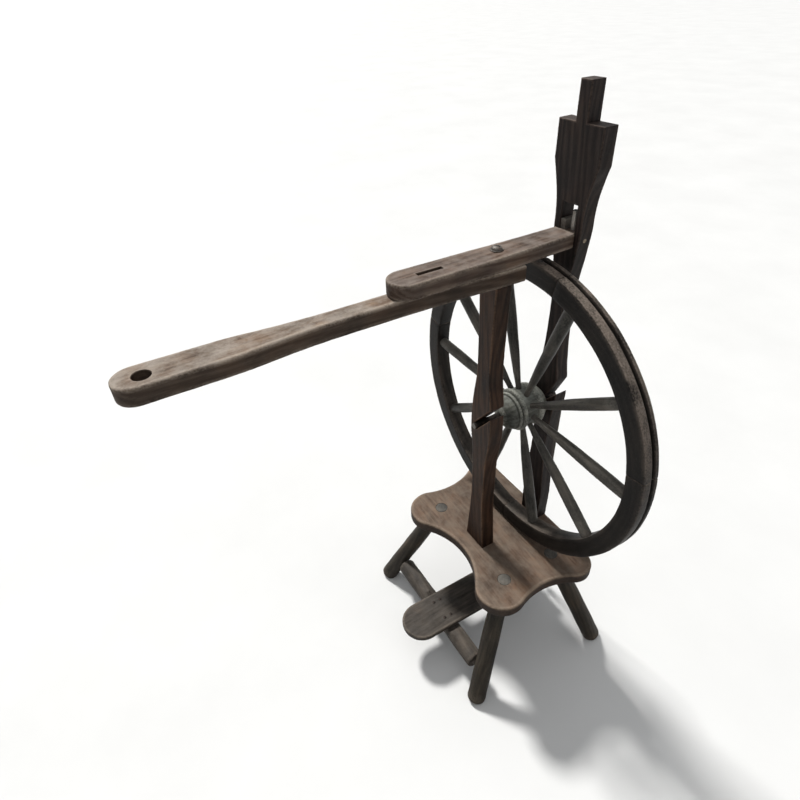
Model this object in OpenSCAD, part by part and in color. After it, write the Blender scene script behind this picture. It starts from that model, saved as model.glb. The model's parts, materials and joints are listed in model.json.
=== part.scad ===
// Upright treadle spinning wheel: a four-legged bench board carries a short front post and a
// tall back post, a spoked wheel runs between them, and a crossbar holds a swinging distaff arm.
// Lengths are in millimetres. Z is up, Y runs along the wheel's axle towards the tall post,
// and the axle stands over the origin's X. The feet stand on Z = 0.
// The modules under on_bench() count from the middle of the bench board's top face.

/* [Bench] */
// Height of the board's top face above the floor
bench_h = 222; // [210:1:235]
// Thickness of the board
bench_t = 20; // [18:1:24]
// Distance from the middle of the board to the middle of each front lobe, along X
front_lobe_x = 98.6; // [97:0.1:100]
// Distance from the middle of the board to the middle of each front lobe, along Y
front_lobe_y = 66; // [65:0.5:67]
// Radius of the front lobes
front_lobe_r = 40.3; // [39.5:0.1:41]
// Distance from the middle of the board to the middle of each back lobe, along X
back_lobe_x = 119; // [118:0.5:121]
// Distance from the middle of the board to the middle of each back lobe, along Y
back_lobe_y = 64; // [64:0.5:65]
// Radius of the back lobes
back_lobe_r = 31; // [31:0.5:32]
// Distance from the middle of the board to the deepest place of the front scoop
front_scoop_y = 71; // [69:0.5:73]
// Radius of the side scoops
side_scoop_r = 110; // [105:1:115]

/* [Legs] */
// Distance from the middle of the board to each leg's tenon, along X
leg_top_x = 90.5; // [88:0.5:93]
// Distance from the middle of the board to the front legs' tenons, along Y
front_leg_y = 52.8; // [50:0.1:55]
// Distance from the middle of the board to the back legs' tenons, along Y
back_leg_y = 44; // [42:0.5:50]
// Distance from the middle of the board to the front right foot, along X
front_right_foot_x = 137; // [133:1:141]
// Distance from the middle of the board to the front left foot, along X
front_left_foot_x = 167; // [162:1:170]
// Distance from the middle of the board to the front feet, along Y
front_foot_y = 132.5; // [129:0.5:136]
// Distance from the middle of the board to the back feet, along X
back_foot_x = 152; // [145:1:158]
// Distance from the middle of the board to the back feet, along Y
back_foot_y = 121; // [118:0.5:126]
// Diameter of a leg under the board
leg_top_d = 28; // [26:0.5:30]
// Diameter of a leg at the floor
leg_foot_d = 31; // [29:0.5:33]
// Diameter of the tenon that shows in the board's top
leg_tenon_d = 20.5; // [18:0.5:22]

/* [Posts] */
// Height of the front post above the board
front_post_h = 474; // [472:0.5:476]
// Thickness of the front post along the axle
front_post_t = 24; // [22:0.5:26]
// Place of the front post's middle along Y, from the middle of the board
front_post_y = -34; // [-36:0.5:-32]
// Height of the back post above the board
back_post_h = 683; // [670:1:700]
// Thickness of the back post along the axle
back_post_t = 21; // [20:0.5:21]
// Place of the back post's middle along Y, from the middle of the board
back_post_y = 84.5; // [84:0.5:84.5]
// Half the width of the back post's square head
head_half_w = 36; // [33:0.5:38]
// Width of the finial on top of the head
finial_w = 18; // [16:0.5:22]
// Height where the head starts, above the board
head_z0 = 596; // [590:1:600]
// Height of the head's shoulders above the board
head_z1 = 640; // [632:1:646]
// Width of the tenons that hold the posts in the board
post_tenon_w = 32; // [28:1:34]
// Thickness of the tenons that hold the posts in the board
post_tenon_t = 14; // [12:0.5:16]
// Diameter of the keeper pin holes beside the axle slots
keeper_hole_d = 4; // [3.5:0.1:4.5]
// Depth of the keeper pin holes
keeper_hole_l = 12; // [9:0.5:13]

/* [Wheel] */
// Outer diameter of the rim
wheel_d = 480; // [476:1:484]
// Radial thickness of the rim
rim_t = 28.5; // [26:0.5:30]
// Width of the rim along the axle
rim_w = 25; // [24:0.5:27]
// Width of the near flange of the tread
near_flange_w = 13.5; // [12:0.5:14]
// Width of the drive band's groove
groove_w = 5; // [4.5:0.5:6]
// Depth of the drive band's groove
groove_depth = 5; // [4:0.5:6]
// Height of the axle above the board
axle_z = 244; // [243:0.5:246]
// Distance of the axle from the middle of the board, to the left
axle_left = 12; // [11:0.5:13]
// Place of the wheel's middle plane along Y, from the middle of the board
wheel_y = 39; // [37:0.5:40]
// Number of spokes
spoke_count = 10; // [10:1:10]
// Turn of the first spoke from the right
spoke_turn = -2.3; // [-4:0.1:-1]
// Diameter of the axle
axle_d = 10; // [9:0.5:10]

/* [Crank and treadle] */
// Throw of the crank
crank_throw = 30; // [26:1:31]
// Diameter of the crank pin
crank_pin_d = 8; // [7:0.5:9]
// Width of the footman stick
footman_w = 16; // [14:0.5:18]
// Thickness of the footman stick
footman_t = 9; // [8:0.5:9.5]
// Height of the treadle bar's axis, below the board's top
bar_z = -166; // [-168:1:-164]
// Diameter of the treadle bar
bar_d = 31; // [29:0.5:33]
// Distance from the middle of the board to the treadle bar's left shoulder
bar_left = 126.5; // [122:0.5:127]
// Distance from the middle of the board to the treadle bar's right shoulder
bar_right = 105; // [101:0.5:105.5]
// Diameter of the treadle bar's end pins
bar_pin_d = 12; // [11:0.5:13]
// Width of the treadle board
treadle_w = 70; // [66:1:74]
// Thickness of the treadle board
treadle_t = 10; // [9:0.5:12]
// Place of the treadle board's middle along X
treadle_x = 2; // [0:0.5:4]
// Place of the treadle board's round front end along Y
treadle_front = -190.5; // [-193:0.5:-188]
// Place of the treadle board's rear end along Y
treadle_rear = 106; // [104:1:107]

/* [Crossbar and arm] */
// Thickness of the crossbar
crossbar_t = 19; // [18:0.5:20]
// Thickness of the distaff arm
arm_t = 21.4; // [20.5:0.1:21.4]
// Place of the crossbar's front tip along Y
crossbar_tip = -183; // [-186:1:-180]
// Place of the arm's tip along Y
arm_tip = -477; // [-480:1:-470]
// Diameter of the distaff's socket in the arm
distaff_d = 19; // [18:0.5:20]
// Length of the slot for the front flyer bearing
slot_l = 34; // [32:1:36]
// Width of the slot for the front flyer bearing
slot_w = 6.5; // [6:0.5:7]
// Diameter of the pivot screw's shank
screw_d = 6; // [5:0.5:6]
// Width of the window in the back post
window_w = 26; // [24:0.5:27]

/* [Hidden] */
$fn = 64;

// Air between parts that turn on each other, radial
run_gap = 0.05;
// Air between parts that are glued or wedged, per side
glue_gap = 0.04;
// Air between parts that slide past each other
slide_gap = 0.3;
// How far a cutter runs past the face it opens
over = 2;
// Steps of a smooth curve between two stations
curve_steps = 6;
// Steps of an arc of the board's outline
arc_steps = 24;

// How far a foot's slanted end reaches past its axis along Y
foot_reach = 16.3;
// The board stands so that the whole model is centred over the origin
bench_x = axle_left;
bench_y = -(arm_tip + back_foot_y + foot_reach) / 2;
bench_bottom = -bench_t;

rim_r = wheel_d / 2;
rim_in_r = rim_r - rim_t;
axle_r = axle_d / 2;

// The crossbar lies on the arm, and the arm on the front post
arm_z = front_post_h + slide_gap;
crossbar_z = arm_z + arm_t + slide_gap;
crossbar_top = crossbar_z + crossbar_t;
pivot_x = -2;
pivot_y = front_post_y;

// Colours
dark_oak = [0.20, 0.17, 0.15];
warm_oak = [0.45, 0.34, 0.27];
grey_oak = [0.30, 0.27, 0.25];
pale_oak = [0.58, 0.51, 0.44];
dusty_oak = [0.42, 0.43, 0.40];
iron = [0.33, 0.32, 0.31];
bone = [0.72, 0.66, 0.56];

// Half widths of the front post at heights above the board
front_post_waist = [
    [0, 22.6], [40, 18.8], [90, 14.8], [140, 14.6], [190, 16.3], [240, 22.4],
    [290, 20.6], [340, 14.1], [400, 14.2], [474, 17]
];
// Half widths of the back post at heights above the board, up to the head
back_post_waist = [
    [0, 20], [60, 21], [110, 18], [165, 14.5], [205, 16.5], [240, 20], [265, 22.4], [290, 21],
    [325, 16], [360, 12.7], [420, 11.5], [450, 14], [480, 19], [515, 23.4], [540, 24],
    [560, 26.5], [578, 31], [head_z0, head_half_w]
];
// Half widths of the distaff arm at distances in front of the middle of the board
arm_waist = [
    [4, 19.5], [40, 18.4], [72, 16], [130, 13.7], [190, 13], [260, 13.2], [300, 15],
    [330, 17.8], [360, 20.4], [400, 21], [456, 21]
];
// Radii of a spoke at distances from the axle
spoke_waist = [
    [30, 4.5], [42, 4.9], [60, 6], [85, 7.2], [120, 8.1], [160, 8.7], [190, 8.8], [211.2, 8.3]
];
// Radii of the hub at distances behind its nose
hub_nose = [
    [0, 9], [2.5, 14], [6, 20], [10, 24.5], [15, 27.3]
];
hub_y = -2;

// One point of a smooth curve through the stations s, between stations i and i + 1
function tangent(s, i) =
    i == 0 ? (s[1][1] - s[0][1]) / (s[1][0] - s[0][0])
    : i == len(s) - 1 ? (s[i][1] - s[i - 1][1]) / (s[i][0] - s[i - 1][0])
    : (s[i + 1][1] - s[i - 1][1]) / (s[i + 1][0] - s[i - 1][0]);
function curve_point(s, i, t) =
    let (w = s[i + 1][0] - s[i][0], t2 = t * t, t3 = t2 * t)
    [
        s[i][0] + w * t,
        s[i][1] * (2 * t3 - 3 * t2 + 1) + s[i + 1][1] * (3 * t2 - 2 * t3)
            + w * tangent(s, i) * (t3 - 2 * t2 + t) + w * tangent(s, i + 1) * (t3 - t2)
    ];
function smooth(s) = [
    for (i = [0:len(s) - 2], k = [0:curve_steps - 1]) curve_point(s, i, k / curve_steps),
    s[len(s) - 1]
];
function reversed(p) = [for (i = [len(p) - 1:-1:0]) p[i]];

// Points on an arc after its start, and the direction from one point to another
function on_round(c, r, a) = c + r * [cos(a), sin(a)];
function arc(c, r, a0, a1) = [for (i = [1:arc_steps]) on_round(c, r, a0 + (a1 - a0) * i / arc_steps)];
function bearing(p, q) = atan2(q[1] - p[1], q[0] - p[0]);
// Middle of a round of radius r that touches two others, on the right of the way from c0 to c1
function touching(c0, r0, c1, r1, r) =
    let (d = norm(c1 - c0), u = (c1 - c0) / d, a = r0 + r, b = r1 + r, x = (a * a - b * b + d * d) / (2 * d))
    c0 + u * x + [u[1], -u[0]] * sqrt(a * a - x * x);

module on_bench() {
    translate([bench_x, bench_y, bench_h]) children();
}

// Stands a drawing made in X and Z upright, t thick, with its middle at y
module upright(y, t) {
    translate([0, y + t / 2, 0]) rotate([90, 0, 0]) linear_extrude(t) children();
}

// Lays a Z axis along the line from p to q, starting at p
module along(p, q) {
    d = q - p;
    translate(p) rotate([0, acos(d[2] / norm(d)), atan2(d[1], d[0])]) children();
}

module drill(p, d, r, l) {
    along(p, p + d) translate([0, 0, -over]) cylinder(r = r, h = l + over);
}

// The part of the work above or below a height
module slab(z0, z1, half = 400) {
    translate([-half, -half, z0]) cube([2 * half, 2 * half, z1 - z0]);
}

/* Bench */

// Lobes at the four corners, with touching scoops at the front and the sides and a straight back
module bench_outline() {
    front = [front_lobe_x, -front_lobe_y];
    back = [back_lobe_x, back_lobe_y];
    lift = front_scoop_y - front_lobe_y;
    scoop_r = (pow(front_lobe_x, 2) + pow(lift, 2) - pow(front_lobe_r, 2)) / (2 * (front_lobe_r - lift));
    scoop = [0, -front_scoop_y - scoop_r];
    side = touching(front, front_lobe_r, back, back_lobe_r, side_scoop_r);
    start = bearing(scoop, front);
    right = concat(
        arc(front, front_lobe_r, bearing(front, scoop), bearing(front, side)),
        arc(side, side_scoop_r, bearing(side, front) + 360, bearing(side, back)),
        arc(back, back_lobe_r, bearing(back, side), 90)
    );
    left = [for (p = reversed(right)) [-p[0], p[1]]];
    first = on_round(scoop, scoop_r, 180 - start);
    polygon(concat([first], arc(scoop, scoop_r, 180 - start, start), right, left));
}

module post_tenon(y, gap) {
    w = post_tenon_w + 2 * gap;
    t = post_tenon_t + 2 * gap;
    translate([-w / 2, y - t / 2, bench_bottom - over]) cube([w, t, bench_t + over + gap]);
}

function leg_top(sx, sy) = [sx * leg_top_x, sy > 0 ? back_leg_y : -front_leg_y, 0];
function leg_foot(sx, sy) =
    sy > 0 ? [sx * back_foot_x, back_foot_y, -bench_h]
    : [sx > 0 ? front_right_foot_x : -front_left_foot_x, -front_foot_y, -bench_h];
function leg_at(sx, sy, z) = leg_top(sx, sy) + (leg_foot(sx, sy) - leg_top(sx, sy)) * (-z / bench_h);
bar_y = leg_at(1, -1, bar_z)[1];
bar_pin_reach = 4;
function bar_pin_end(sx) = leg_at(sx, -1, bar_z)[0] + sx * bar_pin_reach;

// Turn of a slanted round's seam, clear of the points where level cuts reach furthest
seam = 50;

module leg_tenon(sx, sy, r) {
    top = leg_top(sx, sy);
    dir = top - leg_foot(sx, sy);
    lead = 30;
    along(top - dir * lead / bench_h, top + dir) rotate([0, 0, seam]) cylinder(r = r, h = 2 * lead);
}

module bench_plank() {
    color(warm_oak) on_bench() difference() {
        translate([0, 0, bench_bottom]) linear_extrude(bench_t) bench_outline();
        for (sx = [-1, 1], sy = [-1, 1]) leg_tenon(sx, sy, leg_tenon_d / 2 + glue_gap);
        post_tenon(front_post_y, glue_gap);
        post_tenon(back_post_y, glue_gap);
    }
}

module leg(sx, sy) {
    top = leg_top(sx, sy);
    foot = leg_foot(sx, sy);
    extra = 20;
    reach = norm(foot - top) + extra;
    color(dark_oak) on_bench() difference() {
        union() {
            intersection() {
                along(foot - (top - foot) * extra / reach, top) rotate([0, 0, seam])
                    cylinder(d1 = leg_foot_d, d2 = leg_top_d, h = reach);
                slab(-bench_h, bench_bottom);
            }
            intersection() {
                leg_tenon(sx, sy, leg_tenon_d / 2);
                slab(bench_bottom - over, 0);
            }
        }
        if (sy < 0)
            translate([bar_pin_end(sx), bar_y, bar_z]) rotate([0, -90 * sx, 0])
                cylinder(r = bar_pin_d / 2 + run_gap, h = 3 * bar_pin_d);
    }
}

module leg_front_left() { leg(-1, -1); }
module leg_front_right() { leg(1, -1); }
module leg_back_left() { leg(-1, 1); }
module leg_back_right() { leg(1, 1); }

/* Posts */

module waist_outline(s, top = []) {
    right = [for (p = smooth(s)) [p[1], p[0]]];
    left = [for (p = reversed(smooth(s))) [-p[1], p[0]]];
    polygon(concat(right, top, left));
}

// Round seat of the axle with a sloping way in from the right edge
module axle_slot(y, t, upper, lower) {
    r = axle_r + run_gap;
    turn = 47;
    c = [-axle_left, axle_z];
    side = [-sin(turn), cos(turn)] * r;
    upright(y, t + 2 * over) polygon(concat([c + side], upper, lower, [c - side]));
    translate([c[0], y + t / 2 + over, c[1]]) rotate([90, 0, 0]) cylinder(r = r, h = t + 2 * over);
}

// The keeper holes start just outside the posts' right edges
keeper_x = 24.2;
front_keeper_z = axle_z + 10;
back_keeper_z = axle_z + 16;

module keeper_hole(y, z) {
    drill([keeper_x, y, z], [-1, 0, 0], keeper_hole_d / 2, keeper_hole_l);
}

wedge_t = 3;
wedge_w = post_tenon_t - 1;

module post_foot(y) {
    difference() {
        intersection() {
            post_tenon(y, 0);
            slab(bench_bottom, over);
        }
        translate([-wedge_t / 2, y - wedge_w / 2, bench_bottom - over])
            cube([wedge_t, wedge_w, bench_t + over - wedge_t]);
    }
}

module post_wedges() {
    color(pale_oak) on_bench() for (y = [front_post_y, back_post_y])
        translate([-wedge_t / 2 + glue_gap, y - wedge_w / 2 + glue_gap, bench_bottom])
            cube([wedge_t - 2 * glue_gap, wedge_w - 2 * glue_gap, bench_t - 2 * wedge_t]);
}

screw_hole_l = 34;

module front_post() {
    edge = 34;
    upper = [[edge, axle_z + 60], [17, axle_z + 43]];
    lower = [[17, axle_z + 27], [edge, axle_z + 44]];
    color(warm_oak) on_bench() {
        difference() {
            upright(front_post_y, front_post_t) waist_outline(front_post_waist);
            axle_slot(front_post_y, front_post_t, reversed(upper), reversed(lower));
            keeper_hole(front_post_y, front_keeper_z);
            translate([pivot_x, pivot_y, front_post_h - screw_hole_l])
                cylinder(d = screw_d + 2 * glue_gap, h = screw_hole_l + over);
        }
        post_foot(front_post_y);
    }
}

window_z0 = 498;
window_z1 = 549;
crossbar_tenon_h = 16.4;

module back_post_outline() {
    waist_outline(back_post_waist, [[head_half_w, head_z1], [-head_half_w, head_z1]]);
    translate([-finial_w / 2, head_z1 - over]) square([finial_w, back_post_h - head_z1 + over]);
}

module back_post() {
    edge = 26;
    upper = [[2, axle_z + 14], [edge, axle_z + 64]];
    lower = [[edge, axle_z + 33]];
    color(dark_oak) on_bench() {
        difference() {
            upright(back_post_y, back_post_t) back_post_outline();
            axle_slot(back_post_y, back_post_t, upper, lower);
            keeper_hole(back_post_y, back_keeper_z);
            translate([-window_w / 2, back_post_y - back_post_t, window_z0])
                cube([window_w, 2 * back_post_t, window_z1 - window_z0]);
            peg_hole(crossbar_peg_d / 2 + glue_gap);
        }
        post_foot(back_post_y);
    }
}

/* Crossbar and arm */

crossbar_peg_d = 6;
crossbar_peg_l = 34;
crossbar_peg_x = 22.8;
peg_hole_x = -16;
peg_z = window_z0 + crossbar_tenon_h / 2;

module peg_hole(r) {
    drill([head_half_w, back_post_y, peg_z], [-1, 0, 0], r, head_half_w - peg_hole_x);
}

slot_x = 1;
slot_y = -147;

module crossbar_outline() {
    tip_r = 22;
    tip_y = crossbar_tip + tip_r;
    back = back_post_y - back_post_t / 2;
    half = 20;
    half_y = -30;
    end_x = 14;
    translate([0, tip_y]) circle(tip_r);
    polygon([
        [-tip_r, tip_y], [-half, half_y], [-half, back], [end_x, back], [half, half_y], [tip_r, tip_y]
    ]);
}

module crossbar() {
    back = back_post_y - back_post_t / 2;
    w = window_w - 2 * glue_gap;
    color(grey_oak) on_bench() difference() {
        union() {
            translate([0, 0, crossbar_z]) linear_extrude(crossbar_t) crossbar_outline();
            intersection() {
                translate([-w / 2, back - over, window_z0 + glue_gap])
                    cube([w, back_post_t + over, crossbar_tenon_h]);
                slab(window_z0, crossbar_top);
            }
        }
        translate([slot_x - slot_w / 2, slot_y, crossbar_z - over])
            cube([slot_w, slot_l, crossbar_t + 2 * over]);
        translate([pivot_x, pivot_y, crossbar_z - over])
            cylinder(d = screw_d + 2 * run_gap, h = crossbar_t + 2 * over);
        peg_hole(crossbar_peg_d / 2 + glue_gap);
    }
}

module crossbar_peg() {
    color(bone) on_bench() translate([crossbar_peg_x - crossbar_peg_l, back_post_y, peg_z])
        rotate([0, 90, 0]) cylinder(d = crossbar_peg_d, h = crossbar_peg_l);
}

distaff_x = 2;
distaff_y = -448;

module arm_outline() {
    tip_r = 21;
    tip_step = 9;
    points = smooth(arm_waist);
    right = [for (p = points) [p[1], -p[0]]];
    left = [for (p = reversed(points)) [-p[1], -p[0]]];
    tip = [for (a = [-tip_step:-tip_step:tip_step - 180]) tip_r * [cos(a), sin(a)] + [0, arm_tip + tip_r]];
    polygon(concat(right, tip, left));
}

module distaff_arm() {
    color(pale_oak) on_bench() difference() {
        translate([0, 0, arm_z]) linear_extrude(arm_t) arm_outline();
        translate([pivot_x, pivot_y, arm_z - over])
            cylinder(d = screw_d + 2 * run_gap, h = arm_t + 2 * over);
        translate([distaff_x, distaff_y, arm_z - over]) cylinder(d = distaff_d, h = arm_t + 2 * over);
    }
}

washer_t = 1.4;
washer_d = 16.5;
washer_gap = 0.1;
screw_head_r = 6.6;
screw_head_h = 4.2;
screw_slot_w = 1.4;
screw_slot_depth = 1.7;

module pivot_screw() {
    z = crossbar_top + washer_t;
    dome = (screw_head_r * screw_head_r + screw_head_h * screw_head_h) / (2 * screw_head_h);
    color(iron) on_bench() translate([pivot_x, pivot_y, 0]) difference() {
        union() {
            translate([0, 0, front_post_h - screw_hole_l + over])
                cylinder(d = screw_d, h = z - front_post_h + screw_hole_l - over);
            intersection() {
                translate([0, 0, z + screw_head_h - dome]) sphere(dome);
                translate([0, 0, z]) cylinder(r = screw_head_r, h = screw_head_h + over);
            }
        }
        translate([-screw_head_r, -screw_slot_w / 2, z + screw_head_h - screw_slot_depth])
            cube([2 * screw_head_r, screw_slot_w, over]);
    }
}

module pivot_washer() {
    color(iron) on_bench() translate([pivot_x, pivot_y, crossbar_top]) difference() {
        cylinder(d = washer_d, h = washer_t);
        translate([0, 0, -over]) cylinder(d = screw_d + 2 * washer_gap, h = washer_t + 2 * over);
    }
}

/* What is left of the flyer's rear bearing, in the back post's window */

bearing_z = window_z0 + crossbar_tenon_h + 2 * glue_gap;

module bearing_block() {
    size = [8, 18, 13];
    color(bone) on_bench()
        translate([-window_w / 2 + glue_gap, back_post_y - size[1] / 2, bearing_z]) cube(size);
}

module bearing_hook() {
    x = 1;
    r = 4;
    h = 21;
    color(iron) on_bench() translate([x, back_post_y, bearing_z]) {
        cylinder(r = r, h = h);
        translate([0, 0, h]) sphere(r);
    }
}

/* Wheel */

// Moves to the wheel's middle, with Z along the axle towards the front
module at_wheel() {
    on_bench() translate([-axle_left, wheel_y, axle_z]) rotate([90, 0, 0]) children();
}

felloe_ends = [9, 77, 167, 270, 369];
dowel_d = 8;
dowel_l = 30;
dowel_r = rim_in_r + rim_t / 2 - 1;
tenon_d = 11;
tenon_l = 11;
neck_d = 9;
neck_l = 10;
drum_r = 30;

module rim_section() {
    half = rim_w / 2;
    edge = 1;
    groove_0 = half - near_flange_w;
    groove_1 = groove_0 - groove_w;
    polygon([
        [rim_in_r, -half], [rim_r - edge, -half], [rim_r, -half + edge], [rim_r, groove_1],
        [rim_r - groove_depth, groove_1 + edge], [rim_r - groove_depth, groove_0 - edge], [rim_r, groove_0],
        [rim_r, half - edge], [rim_r - edge, half], [rim_in_r, half]
    ]);
}

function spoke_angle(k) = spoke_turn + (k - 1) * 360 / spoke_count;

module spoke_tenons(gap) {
    for (k = [1:spoke_count]) rotate([0, 90, spoke_angle(k)]) {
        translate([0, 0, rim_in_r - over]) cylinder(d = tenon_d + 2 * gap, h = tenon_l + over + gap);
        translate([0, 0, drum_r - neck_l - gap]) cylinder(d = neck_d + 2 * gap, h = neck_l + over);
    }
}

module dowels(gap) {
    l = dowel_l + 2 * gap;
    for (i = [0:3]) rotate([0, 0, felloe_ends[i]]) translate([dowel_r, l / 2, 0])
        rotate([90, 0, 0]) cylinder(d = dowel_d + 2 * gap, h = l);
}

module felloe(i) {
    a = felloe_ends[i - 1];
    sweep = felloe_ends[i] - a;
    color(grey_oak) at_wheel() difference() {
        rotate([0, 0, a]) rotate_extrude(angle = sweep, $fn = 180) rim_section();
        spoke_tenons(glue_gap);
        dowels(glue_gap);
    }
}

module felloe_1() { felloe(1); }
module felloe_2() { felloe(2); }
module felloe_3() { felloe(3); }
module felloe_4() { felloe(4); }

module felloe_dowels() {
    color(pale_oak) at_wheel() dowels(0);
}

module spoke(k) {
    points = smooth(spoke_waist);
    last = points[len(points) - 1];
    color(dark_oak) at_wheel() rotate([0, 90, spoke_angle(k)]) {
        rotate_extrude() polygon(concat(
            [[0, drum_r]], [for (p = points) [p[1], p[0]]], [[0, last[0]]]
        ));
        translate([0, 0, last[0] - over]) cylinder(d = tenon_d, h = rim_in_r + tenon_l - last[0] + over);
        translate([0, 0, drum_r - neck_l]) cylinder(d = neck_d, h = neck_l + over);
    }
}

module spoke_1() { spoke(1); }
module spoke_2() { spoke(2); }
module spoke_3() { spoke(3); }
module spoke_4() { spoke(4); }
module spoke_5() { spoke(5); }
module spoke_6() { spoke(6); }
module spoke_7() { spoke(7); }
module spoke_8() { spoke(8); }
module spoke_9() { spoke(9); }
module spoke_10() { spoke(10); }

// Turned outline of the hub, as radius and distance behind its nose
module hub_section() {
    bore = axle_r + glue_gap;
    hub_l = 73;
    nose = [for (p = smooth(hub_nose)) [p[1], p[0]]];
    body = [
        [26.2, 16], [27.5, 17.5], [31, 22], [33.4, 26], [33.4, 29], [drum_r, 31.5], [drum_r, 52],
        [33, 54.5], [33, 59], [31.5, 61], [27, 68], [24, 72], [22.5, hub_l]
    ];
    polygon(concat([[bore, 0]], nose, body, [[bore, hub_l]]));
}

module wheel_hub() {
    color(dusty_oak) at_wheel() difference() {
        translate([0, 0, wheel_y - hub_y]) mirror([0, 0, 1]) rotate_extrude() hub_section();
        spoke_tenons(glue_gap);
    }
}

/* Axle, crank and footman */

axle_front = -49;
crank_y0 = 100.5;
crank_t = 9;
crank_w = 10;
crank_eye_d = 15;
footman_y0 = crank_y0 + crank_t + 2.5;
footman_y1 = footman_y0 + footman_t;
pin_end = footman_y1 + 3;
keeper_t = 2;
keeper_d = 14.4;
footman_eye_w = footman_w + 6;

module rod(z, y0, y1, d) {
    translate([-axle_left, y1, z]) rotate([90, 0, 0]) cylinder(d = d, h = y1 - y0);
}

module axle() {
    color(iron) on_bench() {
        rod(axle_z, axle_front, crank_y0 + crank_t, axle_d);
        rod(axle_z, crank_y0, crank_y0 + crank_t, crank_eye_d);
        rod(axle_z - crank_throw, crank_y0, crank_y0 + crank_t, crank_eye_d);
        translate([-axle_left - crank_w / 2, crank_y0, axle_z - crank_throw])
            cube([crank_w, crank_t, crank_throw]);
        rod(axle_z - crank_throw, crank_y0 + crank_t, pin_end, crank_pin_d);
    }
}

module crank_keeper() {
    color(iron) on_bench() difference() {
        rod(axle_z - crank_throw, pin_end - keeper_t, pin_end, keeper_d);
        rod(axle_z - crank_throw, pin_end - 2 * keeper_t, pin_end + keeper_t, crank_pin_d + 2 * glue_gap);
    }
}

eye_d = 6;
footman_top = axle_z - crank_throw;

module footman() {
    color(dark_oak) on_bench() difference() {
        union() {
            translate([-axle_left - footman_w / 2, footman_y0, eye_z])
                cube([footman_w, footman_t, footman_top - eye_z]);
            rod(footman_top, footman_y0, footman_y1, footman_eye_w);
            rod(eye_z, footman_y0, footman_y1, footman_w);
        }
        rod(footman_top, footman_y0 - over, footman_y1 + over, crank_pin_d + 2 * run_gap);
        rod(eye_z, footman_y0 - over, footman_y1 + over, eye_d + 2 * glue_gap);
    }
}

module footman_pin() {
    color(bone) on_bench() rod(eye_z, footman_y0, footman_y1 + over, eye_d);
}

/* Treadle */

// The board lies on a flat cut in the bar
seat_z = bar_z + 10;
seat_half = treadle_w / 2 + 6;
treadle_pin_l = 24;
treadle_pin_gap = 0.6;
eye_z = seat_z + treadle_t / 2;

bar_pin_air = 1;

module treadle_bar() {
    left = bar_pin_end(-1) + bar_pin_air;
    right = bar_pin_end(1) - bar_pin_air;
    color(grey_oak) on_bench() difference() {
        translate([0, bar_y, bar_z]) rotate([0, 90, 0]) {
            translate([0, 0, -bar_left]) cylinder(d = bar_d, h = bar_left + bar_right);
            translate([0, 0, left]) cylinder(d = bar_pin_d, h = right - left);
        }
        translate([treadle_x - seat_half, bar_y - bar_d, seat_z]) cube([2 * seat_half, 2 * bar_d, bar_d]);
        nails(0);
    }
}

nail_x = 18;
nail_d = 2.6;
nail_head_d = 6;
nail_head_t = 1;
nail_l = 26;
nail_rows = [bar_y - 6, bar_y + 7];

module nails(head) {
    for (sx = [-1, 1], y = nail_rows) translate([treadle_x + sx * nail_x, y, 0]) {
        top = seat_z + treadle_t;
        translate([0, 0, top - nail_l]) cylinder(d = nail_d, h = nail_l);
        if (head > 0)
            translate([0, 0, top]) cylinder(d = nail_head_d, h = nail_head_t);
    }
}

module treadle_nails() {
    color(iron) on_bench() nails(1);
}

module peg_in_treadle(gap) {
    rod(eye_z, treadle_rear - treadle_pin_l - gap, footman_y0 - treadle_pin_gap, eye_d + 2 * gap);
}

module treadle_board() {
    r = treadle_w / 2;
    color(grey_oak) on_bench() difference() {
        translate([treadle_x, 0, seat_z]) linear_extrude(treadle_t) {
            translate([0, treadle_front + r]) circle(r);
            translate([-r, treadle_front + r]) square([treadle_w, treadle_rear - treadle_front - r]);
        }
        nails(0);
        peg_in_treadle(glue_gap);
    }
}

module treadle_pin() {
    color(bone) on_bench() peg_in_treadle(0);
}

bench_plank();
leg_front_left();
leg_front_right();
leg_back_left();
leg_back_right();
front_post();
back_post();
post_wedges();
crossbar();
crossbar_peg();
distaff_arm();
pivot_screw();
pivot_washer();
bearing_block();
bearing_hook();
axle();
crank_keeper();
wheel_hub();
felloe_1();
felloe_2();
felloe_3();
felloe_4();
felloe_dowels();
spoke_1();
spoke_2();
spoke_3();
spoke_4();
spoke_5();
spoke_6();
spoke_7();
spoke_8();
spoke_9();
spoke_10();
footman();
footman_pin();
treadle_bar();
treadle_board();
treadle_nails();
treadle_pin();
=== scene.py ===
"""Looks of the treadle spinning wheel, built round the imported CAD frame.

Pieces are made in millimetres from the middle of the bench board's top face, as the CAD is,
and piece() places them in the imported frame. Every piece carries two vertex attributes: "grain",
a place in its material with the third number along the grain, and "wear", 1 on handled edges.
"""
import json
import math
import bpy
from mathutils import Matrix, Vector, geometry, noise


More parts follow.
